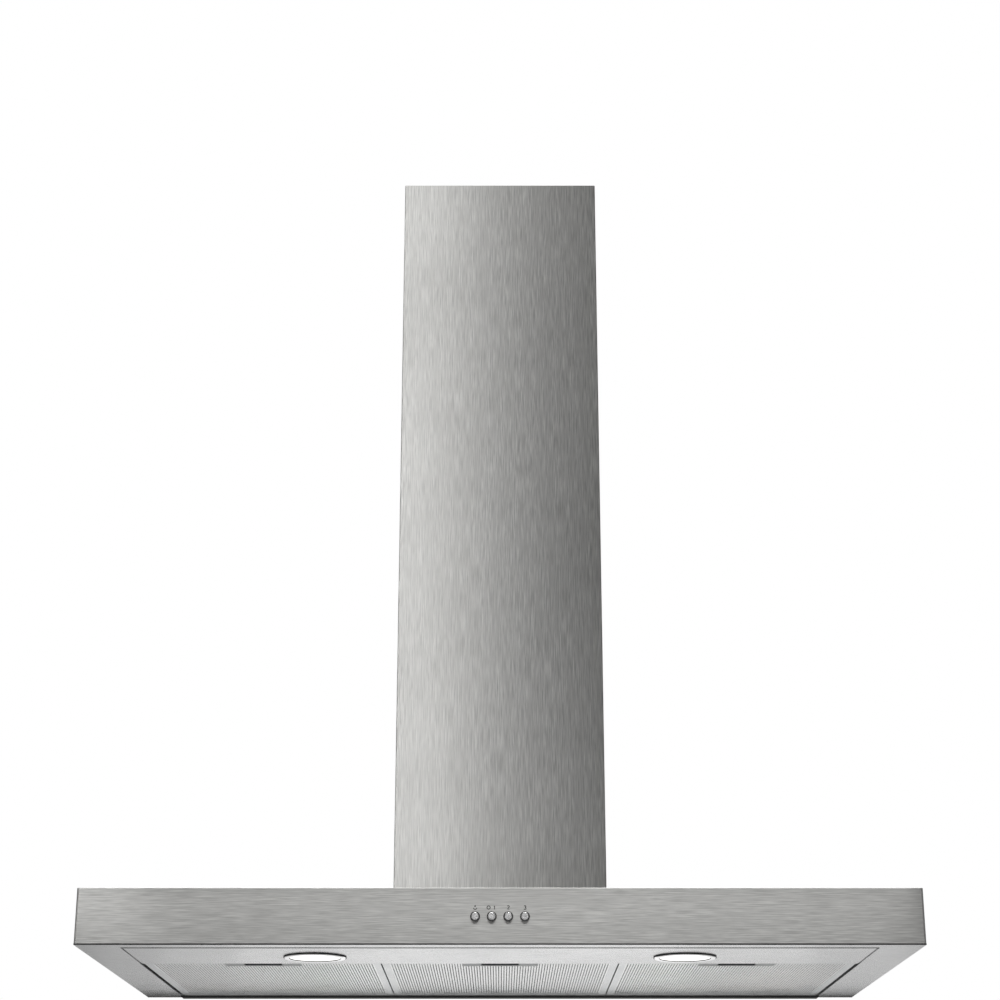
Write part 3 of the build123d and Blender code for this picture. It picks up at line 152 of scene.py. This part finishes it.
class Finish:
    """A material built up node by node on a Principled shader."""

    def __init__(self, name, sockets):
        self.material = bpy.data.materials.new(name)
        self.material.use_nodes = True
        self.tree = self.material.node_tree
        self.shader = self.tree.nodes["Principled BSDF"]
        self.set(sockets)

    def set(self, sockets):
        for name, value in sockets.items():
            feed(self.tree, self.shader.inputs[name], value)

    def add(self, kind, inputs, **settings):
        return add_node(self.tree, kind, inputs, **settings)

    def place(self, kind="Object"):
        return self.add("TexCoord", {}).outputs[kind]

    def scaled(self, vector, scale):
        return self.add("Mapping", {"Vector": vector, "Scale": scale}).outputs["Vector"]

    def noise(self, vector, scale=1.0, detail=2.0, roughness=0.5):
        inputs = {"Vector": vector, "Scale": scale, "Detail": detail, "Roughness": roughness}
        return self.add("TexNoise", inputs).outputs["Fac"]

    def spread(self, value, low, high, start=0.35, end=0.65):
        """The value's range from start to end, stretched to run from low to high."""
        inputs = {"Value": value, "From Min": start, "From Max": end, "To Min": low, "To Max": high}
        return self.add("MapRange", inputs).outputs["Result"]

    def mix_colour(self, factor, first, second):
        inputs = {MIX_FACTOR: factor, COLOUR_FIRST: first, COLOUR_SECOND: second}
        return self.add("Mix", inputs, data_type="RGBA").outputs[COLOUR_RESULT]

    def mottle(self, noise, colour, dark, light):
        """The colour, drifting with a noise between a darker and a lighter shade of it."""
        drift = self.spread(noise, 0.0, 1.0)
        return self.mix_colour(drift, shade(colour, dark), shade(colour, light))

    def mix_vector(self, factor, first, second):
        inputs = {MIX_FACTOR: factor, VECTOR_FIRST: first, VECTOR_SECOND: second}
        return self.add("Mix", inputs, data_type="VECTOR").outputs[VECTOR_RESULT]

    def math(self, operation, first, second=0.0):
        return self.add("Math", {0: first, 1: second}, operation=operation).outputs[0]

    def vector(self, operation, first, second=(0.0, 0.0, 0.0)):
        return self.add("VectorMath", {0: first, 1: second}, operation=operation).outputs["Vector"]

    def bump(self, height, strength, distance):
        inputs = {"Height": height, "Strength": strength, "Distance": distance}
        self.set({"Normal": self.add("Bump", inputs).outputs["Normal"]})


def grey(level):
    """A neutral colour."""
    return (level, level, level, 1.0)


def shade(colour, factor):
    """The colour made lighter or darker."""
    return (colour[0] * factor, colour[1] * factor, colour[2] * factor, 1.0)


# ------------------------------------------------------------------ materials

STEEL = (0.640, 0.638, 0.622, 1.0)
GRAIN_ACROSS = 860.0  # noise cells to a metre, across the brushing
GRAIN_ALONG = 34.0
GRAIN_BROAD = 0.22  # the broader streaks have this share of those cells


def brushed_steel(name, colour, roughness, anisotropic, upright, contrast, relief):
    """Brushed sheet: long fine streaks, a spread highlight across them and faint clouding."""
    finish = Finish(name, {"Metallic": 1.0, "Anisotropic": anisotropic})
    place = finish.place()
    normal = finish.add("NewGeometry", {}).outputs["Normal"]
    fine, slow = GRAIN_ACROSS, GRAIN_ALONG
    if upright:
        streaks = finish.scaled(place, (fine, fine, slow))
        grain = (0.0, 0.0, 1.0)
    else:
        side = finish.add("SeparateXYZ", {"Vector": normal}).outputs["X"]
        side = finish.math("ABSOLUTE", side)
        streaks = finish.mix_vector(
            side, finish.scaled(place, (slow, fine, fine)), finish.scaled(place, (fine, slow, fine))
        )
        grain = finish.mix_vector(side, (1.0, 0.0, 0.0), (0.0, 1.0, 0.0))
    finish.set({"Tangent": finish.vector("CROSS_PRODUCT", grain, normal)})
    hair = finish.noise(streaks, detail=2.0, roughness=0.6)
    broad = finish.noise(finish.vector("MULTIPLY", streaks, (GRAIN_BROAD,) * 3), detail=2.0)
    cloud = finish.noise(place, scale=7.0, detail=3.0)
    tone = finish.mottle(hair, colour, 1 - contrast, 1 + contrast)
    tone = finish.mix_colour(finish.spread(broad, 0.0, 0.4), tone, shade(colour, 1 - contrast / 2))
    rough = finish.math(
        "ADD", finish.spread(hair, roughness - 0.05, roughness + 0.05),
        finish.spread(cloud, -0.02, 0.02),
    )
    finish.set({"Base Color": tone, "Roughness": rough})
    finish.bump(hair, relief, distance=0.00006)
    return finish.material


def satin_metal(name, colour, roughness, grain_scale, relief=0.12):
    """Plain machined or rolled metal with a soft uneven satin."""
    finish = Finish(name, {"Metallic": 1.0})
    place = finish.place()
    fine = finish.noise(place, scale=grain_scale, detail=4.0, roughness=0.6)
    cloud = finish.noise(place, scale=grain_scale / 40, detail=3.0)
    tone = finish.mottle(fine, colour, 0.93, 1.05)
    rough = finish.math(
        "ADD", finish.spread(fine, roughness - 0.06, roughness + 0.06),
        finish.spread(cloud, -0.03, 0.03),
    )
    finish.set({"Base Color": tone, "Roughness": rough})
    finish.bump(fine, relief, distance=0.0001)
    return finish.material


def pleated_mesh(name, colour):
    """Fine expanded aluminium: painted shade in the openings between bright strands, and a top side
    painted paler and less metallic as painted light.
    """
    finish = Finish(name, {})
    place = finish.place()
    cells = finish.add(
        "TexVoronoi", {"Vector": finish.scaled(place, (900.0, 330.0, 900.0)), "Scale": 1.0},
        feature="DISTANCE_TO_EDGE",
    ).outputs["Distance"]
    strand = finish.spread(cells, 1.0, 0.0, start=0.10, end=0.26)
    tarnish = finish.noise(place, scale=60.0, detail=3.0)
    # Painted shade: the openings between the strands are darkened, standing for the shade inside
    # them.
    tone = finish.mix_colour(strand, shade(colour, 0.45), colour)
    tone = finish.mix_colour(finish.spread(tarnish, 0.0, 0.25), tone, shade(colour, 0.5))
    # Painted light: faces turned upwards are painted paler and less metallic, standing for light
    # the top side catches.
    upward = finish.add("SeparateXYZ", {"Vector": finish.place("Normal")}).outputs["Z"]
    painted_top_light = finish.spread(upward, 0.0, 1.0, start=0.0, end=0.4)
    tone = finish.mix_colour(painted_top_light, tone, shade(colour, 1.8))
    finish.set({
        "Base Color": tone,
        "Metallic": finish.math("SUBTRACT", 1.0, finish.math("MULTIPLY", painted_top_light, 0.5)),
        "Roughness": finish.spread(tarnish, 0.32, 0.48),
    })
    finish.bump(strand, strength=0.6, distance=0.00025)
    return finish.material


def galvanised(name, colour):
    """Zinc-coated sheet with a faint spangle."""
    finish = Finish(name, {"Metallic": 0.85})
    place = finish.place()
    spangle = finish.add(
        "TexVoronoi", {"Vector": place, "Scale": 130.0, "Randomness": 1.0}
    ).outputs["Color"]
    patch = finish.add("SeparateXYZ", {"Vector": spangle}).outputs["X"]
    haze = finish.noise(place, scale=22.0, detail=4.0)
    tone = finish.mix_colour(patch, shade(colour, 0.86), shade(colour, 1.1))
    tone = finish.mix_colour(finish.spread(haze, 0.0, 0.3), tone, shade(colour, 0.75))
    finish.set({"Base Color": tone, "Roughness": finish.spread(patch, 0.42, 0.58, 0.0, 1.0)})
    finish.bump(haze, strength=0.1, distance=0.0003)
    return finish.material


def moulded_plastic(name, colour, roughness, texture_scale=1400.0):
    """Moulded plastic with a fine spark-eroded texture and slight tone drift."""
    finish = Finish(name, {"IOR": 1.5})
    place = finish.place()
    skin = finish.noise(place, scale=texture_scale, detail=2.0)
    drift = finish.noise(place, scale=25.0, detail=2.0)
    finish.set({
        "Base Color": finish.mottle(drift, colour, 0.92, 1.08),
        "Roughness": finish.spread(skin, roughness - 0.06, roughness + 0.06),
    })
    finish.bump(skin, strength=0.25, distance=0.00008)
    return finish.material


def chrome(name, colour):
    """Polished plating with faint wiping marks."""
    finish = Finish(name, {"Metallic": 1.0})
    place = finish.place()
    wipes = finish.noise(finish.scaled(place, (60.0, 400.0, 60.0)), detail=3.0)
    tone = finish.mottle(wipes, colour, 0.95, 1.05)
    finish.set({"Base Color": tone, "Roughness": finish.spread(wipes, 0.05, 0.14)})
    return finish.material


def turned_metal(name, colour):
    """A turned button: fine grooves round its own axis, which fan the highlights out."""
    finish = Finish(name, {"Metallic": 1.0, "Anisotropic": 0.5})
    centred = finish.vector("SUBTRACT", finish.place("Generated"), (0.5, 0.5, 0.5))
    centred = finish.vector("MULTIPLY", centred, (1.0, 0.0, 1.0))
    finish.set({"Tangent": finish.vector("NORMALIZE", centred)})
    rings = finish.add(
        "TexWave", {"Vector": centred, "Scale": 9.0, "Distortion": 0.6, "Detail": 2.0},
        wave_type="RINGS", rings_direction="SPHERICAL",
    ).outputs["Fac"]
    haze = finish.noise(finish.place(), scale=500.0)
    tone = finish.mix_colour(rings, shade(colour, 0.94), shade(colour, 1.05))
    finish.set({"Base Color": tone, "Roughness": finish.spread(haze, 0.20, 0.28)})
    finish.bump(rings, strength=0.15, distance=0.00005)
    return finish.material


def lamp_glass(name):
    """Lit frosted lens with a fine prismatic texture."""
    finish = Finish(name, {"IOR": 1.5, "Emission Strength": 1.2})
    place = finish.place()
    prisms = finish.add(
        "TexVoronoi", {"Vector": place, "Scale": 420.0, "Randomness": 0.2}
    ).outputs["Distance"]
    haze = finish.noise(place, scale=40.0)
    bright, dim = (1.0, 0.985, 0.95, 1.0), (0.94, 0.93, 0.90, 1.0)
    finish.set({
        "Base Color": finish.mix_colour(finish.spread(haze, 0.0, 1.0), grey(0.86), grey(0.92)),
        "Roughness": finish.spread(prisms, 0.25, 0.45, 0.0, 0.6),
        "Emission Color": finish.mix_colour(finish.spread(prisms, 0.0, 1.0, 0.0, 0.6), bright, dim),
    })
    finish.bump(prisms, strength=0.3, distance=0.0004)
    return finish.material


def circuit_board(name):
    """Green solder mask over copper tracks."""
    finish = Finish(name, {"IOR": 1.5, "Coat Weight": 0.3})
    place = finish.place()
    tracks = finish.add(
        "TexBrick", {
            "Vector": place, "Scale": 260.0, "Mortar Size": 0.06,
            "Color1": (0.02, 0.16, 0.07, 1.0), "Color2": (0.025, 0.19, 0.08, 1.0),
            "Mortar": (0.05, 0.30, 0.12, 1.0),
        },
    ).outputs["Color"]
    sheen = finish.noise(place, scale=90.0)
    finish.set({"Base Color": tracks, "Roughness": finish.spread(sheen, 0.3, 0.45)})
    return finish.material


def laminated_steel(name, colour):
    """Stacked sheets of a stator or rotor, seen as thin lines across the motor's axis."""
    finish = Finish(name, {"Metallic": 0.9})
    place = finish.place()
    sheets = finish.add(
        "TexWave", {"Vector": place, "Scale": 320.0, "Distortion": 0.4}, wave_type="BANDS",
        bands_direction="X",
    ).outputs["Fac"]
    tone = finish.mix_colour(sheets, shade(colour, 0.7), shade(colour, 1.1))
    finish.set({"Base Color": tone, "Roughness": finish.spread(sheets, 0.42, 0.55, 0.0, 1.0)})
    finish.bump(sheets, strength=0.4, distance=0.0001)
    return finish.material


def printed_ink(name):
    """Thin dark print on the front sheet."""
    finish = Finish(name, {"IOR": 1.5})
    wear = finish.noise(finish.place(), scale=1800.0, detail=3.0)
    finish.set({
        "Base Color": finish.mix_colour(finish.spread(wear, 0.0, 1.0), grey(0.028), grey(0.055)),
        "Roughness": finish.spread(wear, 0.45, 0.6),
    })
    return finish.material


def floor_paint(name):
    """Pale matt floor."""
    finish = Finish(name, {"Roughness": 0.9, "Specular IOR Level": 0.2})
    haze = finish.noise(finish.place(), scale=1.3, detail=2.0)
    finish.set({"Base Color": finish.mix_colour(haze, grey(0.86), grey(0.89))})
    return finish.material


flue_steel = brushed_steel(
    "flue_steel", STEEL, roughness=0.50, anisotropic=0.80, upright=True, contrast=0.26,
    relief=0.12,
)
slot_finishes = {
    "brushed_sheet": brushed_steel(
        "canopy_steel", STEEL, roughness=0.55, anisotropic=0.60, upright=False, contrast=0.20,
        relief=0.10,
    ),
    "underside_sheet": brushed_steel(
        "underside_steel", grey(0.72), roughness=0.28, anisotropic=0.2, upright=False,
        contrast=0.05, relief=0.05,
    ),
    "galvanised": galvanised("zinc_sheet", (0.56, 0.58, 0.59, 1.0)),
    "filter_metal": satin_metal(
        "filter_aluminium", (0.74, 0.75, 0.75, 1.0), roughness=0.34, grain_scale=900.0
    ),
    "latch_grey": moulded_plastic("latch_plastic", (0.50, 0.51, 0.51, 1.0), roughness=0.48),
    "black_plastic": moulded_plastic("black_plastic", grey(0.022), roughness=0.42),
    "white_plastic": moulded_plastic("white_plastic", (0.74, 0.74, 0.71, 1.0), roughness=0.45),
    "blower_plastic": moulded_plastic(
        "blower_plastic", (0.085, 0.09, 0.095, 1.0), roughness=0.5
    ),
    "chromed": chrome("chrome", grey(0.84)),
    "button_metal": turned_metal("button_steel", grey(0.93)),
    "lamp_glass": lamp_glass("lamp_glass"),
    "spring_steel": satin_metal(
        "spring_steel", grey(0.58), roughness=0.25, grain_scale=1500.0
    ),
    "cast_alloy": satin_metal(
        "cast_alloy", (0.60, 0.61, 0.62, 1.0), roughness=0.5, grain_scale=700.0, relief=0.5
    ),
    "motor_steel": laminated_steel("laminated_steel", (0.34, 0.35, 0.37, 1.0)),
    "circuit_green": circuit_board("circuit_board"),
    "soft_rubber": moulded_plastic("rubber", grey(0.02), roughness=0.75, texture_scale=2200.0),
    "steel_screw": satin_metal(
        "screw_steel", (0.60, 0.60, 0.58, 1.0), roughness=0.3, grain_scale=1200.0
    ),
    "cable_white": moulded_plastic("cable_sheath", (0.70, 0.70, 0.68, 1.0), roughness=0.5),
}
node_finishes = {
    "lower_flue": flue_steel,
    "upper_flue": flue_steel,
    # The bezels are dark partly as their own dark finish and partly as painted shade, standing for
    # the shadow under the caps.
    "button_bezels": chrome("dark_chrome_painted_shade", grey(0.07)),
}
# The pleated layers get a darker aluminium than the frames and strands: painted shade for the
# layers inside the filter.
mesh_finish = pleated_mesh("mesh_aluminium", (0.50, 0.505, 0.50, 1.0))
# The strands get a paler aluminium than the frames: painted light on the mesh's face.
lit_strand_finish = satin_metal(
    "lit_strand_aluminium", (0.96, 0.965, 0.96, 1.0), roughness=0.32, grain_scale=900.0
)
ink = printed_ink("ink")

sides = ("left", "centre", "right")
for side_name in sides:
    node_finishes[f"filter_mesh_{side_name}"] = mesh_finish


def paint(piece, material):
    """Give a piece one material."""
    piece.data.materials.clear()
    piece.data.materials.append(material)


for part in frame["record"]["subparts"]:
    chosen = node_finishes.get(part["node"], slot_finishes[part["material_slot"]])
    paint(frame["nodes"][part["node"]], chosen)


# ------------------------------------------------------------------ added pieces


def object_from(name, data):
    """An object in the scene for a mesh, a light or a camera."""
    made = bpy.data.objects.new(name, data)
    bpy.context.scene.collection.objects.link(made)
    return made


def mesh_object(name, mesh, material):
    """Put a bmesh in the scene as a painted object."""
    data = bpy.data.meshes.new(name)
    mesh.to_mesh(data)
    mesh.free()
    made = object_from(name, data)
    paint(made, material)
    return made


def piece_from(name, mesh, body, material):
    """Put a bmesh in the scene as a piece that rides on a body."""
    bmesh.ops.recalc_face_normals(mesh, faces=mesh.faces)
    piece = mesh_object(name, mesh, material)
    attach(piece, body)


def rubber_piece(name, mesh):
    """Put a bmesh in the scene as a black rubber piece of the hood; the front and rear strips, the
    panel bead and the lens rings made so are painted shade.
    """
    piece_from(name, mesh, "hood", slot_finishes["soft_rubber"])


def add_box(mesh, low, high):
    """A box between two corners."""
    made = bmesh.ops.create_cube(mesh, size=1.0)["verts"]
    centre = (Vector(low) + Vector(high)) / 2
    size = Vector(high) - Vector(low)
    for vert in made:
        vert.co = centre + Vector(a * b for a, b in zip(vert.co, size))


def bridge(mesh, rings, closed):
    """Quads from ring to ring of vertices: closed back to the first, or with both ends capped."""
    pairs = list(zip(rings, rings[1:]))
    if closed:
        pairs.append((rings[-1], rings[0]))
    for first, second in pairs:
        for n in range(len(first)):
            after = (n + 1) % len(first)
            mesh.faces.new((first[n], first[after], second[after], second[n]))
    if not closed:
        mesh.faces.new(rings[0])
        mesh.faces.new(reversed(rings[-1]))


def add_ribbon(mesh, line, width, low, high):
    """A solid strip of constant width along a line of (x, y) points, between two heights."""
    corners = ((-1, low), (1, low), (1, high), (-1, high))
    bridge(mesh, [
        [mesh.verts.new((x + sign * width / 2, y, z)) for sign, z in corners] for x, y in line
    ], closed=False)


def filter_face(side):
    """Expanded-metal sheet below the pleated layers of one filter."""
    mesh_low, mesh_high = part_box(f"filter_mesh_{side}")
    cup_low, cup_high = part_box(f"latch_cup_{side}")
    top = mesh_low.z - MESH_CLEAR
    low = top - MESH_THICKNESS
    pitch = (mesh_high.x - mesh_low.x) / MESH_FOLDS
    steps = int((mesh_high.y - mesh_low.y) / MESH_HALF_CELL)
    sheet = bmesh.new()

    def clear_of_cup(x, y, margin):
        return y > cup_high.y + margin or not cup_low.x < x < cup_high.x

    for n in range(MESH_FOLDS):
        x = mesh_low.x + (n + 0.5) * pitch
        middle = x + pitch / 2
        line = []
        for step in range(steps + 1):
            y = mesh_high.y - step * MESH_HALF_CELL
            if clear_of_cup(x, y, MESH_STRAND):
                line.append((x + MESH_SWAY * (-1) ** (n + step), y))
        add_ribbon(sheet, line, MESH_STRAND, low, top)
        for step in range(steps):
            y = mesh_high.y - step * MESH_HALF_CELL
            linked = n + 1 < MESH_FOLDS and (n + step) % MESH_LINK_STEP == 0
            if linked and clear_of_cup(middle, y, MESH_LINK):
                ends = [(middle, y - MESH_LINK), (middle, y)]
                add_ribbon(sheet, ends, pitch - MESH_STRAND, low, top)
    piece_from(f"filter_face_{side}", sheet, f"filter_{side}", lit_strand_finish)


def add_rim(mesh, side, front, wall, low):
    """A strip round the front and sides, up to the skin; side and front place its outer faces."""
    inside = front + wall
    add_box(mesh, (-side, front, low), (side, inside, SKIN_BOTTOM))
    add_box(mesh, (-side, inside, low), (wall - side, SHADE_STRIP_REAR, SKIN_BOTTOM))
    add_box(mesh, (side - wall, inside, low), (side, SHADE_STRIP_REAR, SKIN_BOTTOM))


def front_shade_strip():
    """Black profile in the slot under the front sheet, with a lip over the frame's edge: painted
    shade for the shadow gap there.
    """
    frame_low, frame_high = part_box("underside_frame")
    side, front = frame_high.x, frame_low.y
    seal = bmesh.new()
    add_rim(seal, side - SHADE_STRIP_SETBACK, front + SHADE_STRIP_SETBACK, SHADE_STRIP_WALL, frame_low.z + FRAME_SHEET)
    add_rim(seal, side + SHADE_STRIP_LAP, front - SHADE_STRIP_LAP, SHADE_STRIP_LAP, frame_low.z + SHADE_STRIP_RISE)
    rubber_piece("front_shade_strip", seal)


def panel_shade_bead():
    """Black bead in the joint between the front return and the lamp panel: painted shade for the
    shadowed gap there.
    """
    panel_low, panel_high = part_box("lamp_panel")
    bead = bmesh.new()
    add_box(
        bead, (panel_low.x, panel_low.y - PANEL_SHADE_WIDTH, panel_low.z - PANEL_SHADE_DROP),
        (panel_high.x, panel_low.y, panel_low.z + PANEL_SHADE_WIDTH),
    )
    rubber_piece("panel_shade_bead", bead)


def rear_shade_strip():
    """Black strip under the frame's rear strip: painted shade for the dark band along the hood's
    rear edge.
    """
    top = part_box("underside_frame")[0].z
    rail_low, rail_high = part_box("filter_rail")
    foam = bmesh.new()
    add_box(
        foam, (rail_low.x, -REAR_SHADE_DEPTH, top - REAR_SHADE_DROP), (rail_high.x, 0.0, top),
    )
    rubber_piece("rear_shade_strip", foam)


def rubber_ring(name, centre, inner, wall, low, high):
    """Rubber sleeve round a vertical axis, with a rectangular section."""
    outer = inner + wall
    ring = bmesh.new()
    turns = [2 * pi * n / RING_SIDES for n in range(RING_SIDES)]
    loops = []
    for radius, z in ((inner, low), (outer, low), (outer, high), (inner, high)):
        loops.append([
            ring.verts.new((centre.x + radius * cos(turn), centre.y + radius * sin(turn), z))
            for turn in turns
        ])
    bridge(ring, loops, closed=True)
    rubber_piece(name, ring)


def lamp_rings():
    """A sleeve round each bezel, and a thin black ring round each lens inside the bezel's lip:
    painted shade for the lip's shadow on the lens.
    """
    low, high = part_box("lamp_bezels")
    lens_low, lens_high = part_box("lamp_lenses")
    flange_r = (high.y - low.y) / 2
    lip_r = (lens_high.y - lens_low.y) / 2 - LENS_LIP
    centre = (low + high) / 2
    for side, x in (("left", low.x + flange_r), ("right", high.x - flange_r)):
        spot = Vector((x, centre.y))
        rubber_ring(
            f"lamp_gasket_{side}", spot, flange_r + GASKET_PLAY, GASKET_WALL,
            low.z + GASKET_RISE, UNDERSIDE_Z,
        )
        rubber_ring(
            f"lens_lip_shade_{side}", spot, lip_r - LENS_SHADE_WALL, LENS_SHADE_WALL, low.z, lens_low.z
        )


def add_stroke(mesh, spots, closed, front):
    """A flat stroke of even width along (x, z) points in the front plane."""
    count = len(spots)
    rings = []
    for n, spot in enumerate(spots):
        before = spots[n - 1] if closed or n else spot
        after = spots[(n + 1) % count] if closed or n < count - 1 else spot
        ahead = (after - before).normalized()
        across = Vector((-ahead.y, ahead.x)) * PRINT_STROKE / 2
        corners = []
        for edge, depth in ((1, 0.0), (-1, 0.0), (-1, PRINT_THICKNESS), (1, PRINT_THICKNESS)):
            corner = spot + edge * across
            corners.append(mesh.verts.new((corner.x, front - depth, corner.y)))
        rings.append(corners)
    bridge(mesh, rings, closed)


def print_piece(name, x, z, strokes):
    """A printed mark round (x, z) on the front, from strokes (points, closed) in half heights."""
    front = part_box("canopy_shell")[0].y
    half = PRINT_HEIGHT / 2
    marks = bmesh.new()
    for points, closed in strokes:
        add_stroke(marks, [Vector((x + half * a, z + half * b)) for a, b in points], closed, front)
    piece_from(name, marks, "hood", ink)


def arc(x, z, radius_x, radius_z, start, end, steps):
    """Points on an ellipse, angles in degrees from +X, counted towards +Z."""
    turns = [radians(start + (end - start) * n / steps) for n in range(steps + 1)]
    return [(x + radius_x * cos(t), z + radius_z * sin(t)) for t in turns]


def icons():
    """Lamp symbol, off ring and figures above the push buttons."""
    names = ("lamp_button", "low_speed_button", "middle_speed_button", "high_speed_button")
    centres = [sum(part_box(name), Vector()) / 2 for name in names]
    lamp_x, low_x, middle_x, high_x = [centre.x for centre in centres]
    z = centres[0].z + PRINT_RISE
    bulb = BULB_RADIUS / (PRINT_HEIGHT / 2)
    print_piece("lamp_symbol", lamp_x, z, [
        (arc(0.0, -0.05, 0.90, 0.90, 190, 350, steps=18), False),
        (arc(0.0, 0.75, bulb, bulb, 0, 345, steps=14), True),
    ])
    print_piece("off_ring", low_x + OFF_RING_SHIFT, z, [
        (arc(0.0, 0.0, 0.85, 0.85, 0, 345, steps=24), True),
    ])
    print_piece("figure_one", low_x + FIGURE_ONE_SHIFT, z, [
        ([(-0.35, 0.55), (0.0, 0.9), (0.0, -1.0)], False),
    ])
    print_piece("figure_two", middle_x, z, [
        (arc(0.0, 0.5, 0.5, 0.5, 165, -35, steps=14) + [(-0.5, -0.92), (0.55, -0.92)], False),
    ])
    print_piece("figure_three", high_x, z, [
        (arc(0.0, 0.48, 0.5, 0.46, 150, -80, steps=14), False),
        (arc(0.0, -0.46, 0.55, 0.50, 80, -150, steps=14), False),
    ])


for side_name in sides:
    filter_face(side_name)
front_shade_strip()
panel_shade_bead()
rear_shade_strip()
lamp_rings()
icons()


# ------------------------------------------------------------------ studio


def make_floor():
    """Wide pale floor well below the hood."""
    mesh = bmesh.new()
    bmesh.ops.create_grid(mesh, x_segments=1, y_segments=1, size=FLOOR_SIZE / 2)
    floor = mesh_object("floor", mesh, floor_paint("floor_paint"))
    floor.location.z = FLOOR_Z


def turn_towards(light, aim):
    """Turn a light to shine along a direction."""
    light.rotation_euler = aim.to_track_quat("-Z", "Y").to_euler()


def softbox(name, place, target, width, height, radiance, spread=180.0):
    """Rectangular light that the camera doesn't see, its power set by its radiance and size."""
    data = bpy.data.lights.new(name, "AREA")
    data.shape = "RECTANGLE"
    data.size = width
    data.size_y = height
    data.energy = radiance * pi * width * height
    data.spread = radians(spread)
    light = object_from(name, data)
    light.location = place
    turn_towards(light, Vector(target) - Vector(place))
    light.visible_camera = False


def make_flag():
    """Black flag just behind the wall plane: the underside's rear end reflects it."""
    mesh = bmesh.new()
    add_box(mesh, FLAG_LOW, FLAG_HIGH)
    flag = mesh_object("black_flag", mesh, slot_finishes["soft_rubber"])
    flag.visible_camera = False
    flag.visible_diffuse = False
    flag.visible_shadow = False


def make_sun():
    """Key light from above and ahead, which throws the buttons' shadows."""
    data = bpy.data.lights.new("sun", "SUN")
    data.energy = SUN_STRENGTH
    data.angle = radians(SUN_ANGLE)
    turn_towards(object_from("sun", data), -Vector(SUN_SOURCE))


def make_world():
    """White surroundings; what lights the hood is dim ahead of it and bright above and behind."""
    world = bpy.data.worlds.new("studio")
    bpy.context.scene.world = world
    world.use_nodes = True
    tree = world.node_tree
    tree.nodes.clear()
    way = add_node(tree, "SeparateXYZ", {
        "Vector": add_node(tree, "TexCoord", {}).outputs["Generated"],
    })

    def ramp(axis, start, end, low, high):
        inputs = {
            "Value": way.outputs[axis],
            "From Min": start, "From Max": end, "To Min": low, "To Max": high,
        }
        return add_node(tree, "MapRange", inputs, interpolation_type="SMOOTHSTEP").outputs["Result"]

    level = ramp(*LIGHT_AROUND)
    for extra in (LIGHT_ABOVE, LIGHT_BEHIND):
        level = add_node(tree, "Math", {0: level, 1: ramp(*extra)}, operation="ADD").outputs[0]
    lighting = add_node(tree, "Background", {"Color": WHITE, "Strength": level})
    shown = add_node(tree, "Background", {"Color": WHITE, "Strength": 1.0})
    both = add_node(tree, "MixShader", {
        0: add_node(tree, "LightPath", {}).outputs["Is Camera Ray"],
        1: lighting.outputs["Background"],
        2: shown.outputs["Background"],
    })
    add_node(tree, "OutputWorld", {"Surface": both.outputs["Shader"]})


def make_camera():
    """The photograph's view, from low in front of the hood."""
    data = bpy.data.cameras.new("camera")
    data.lens = CAMERA_LENS
    camera = object_from("camera", data)
    camera.location = CAMERA_PLACE
    camera.rotation_euler = (radians(90.0 + CAMERA_PITCH), 0.0, 0.0)
    bpy.context.scene.camera = camera


def make_back_cards():
    """Cards behind the hood that the underside mirrors."""
    for card, (low_x, high_x, radiance) in enumerate(BACK_CARDS):
        middle = (low_x + high_x) / 2
        softbox(
            f"back_card_{card}", (middle, BACK_Y + card * BACK_STEP, BACK_Z),
            (middle, BACK_AIM_Y, BACK_Z), high_x - low_x, BACK_HEIGHT, radiance,
        )


bpy.context.scene.view_settings.view_transform = "Standard"
make_camera()
make_floor()
make_world()
make_sun()
softbox("left_strip", *LEFT_STRIP)
make_back_cards()
softbox("brow_strip", *BROW_STRIP)
softbox("front_card", *FRONT_CARD)
softbox("corner_strip", *CORNER_STRIP)
softbox("edge_strip", *EDGE_STRIP)
make_flag()
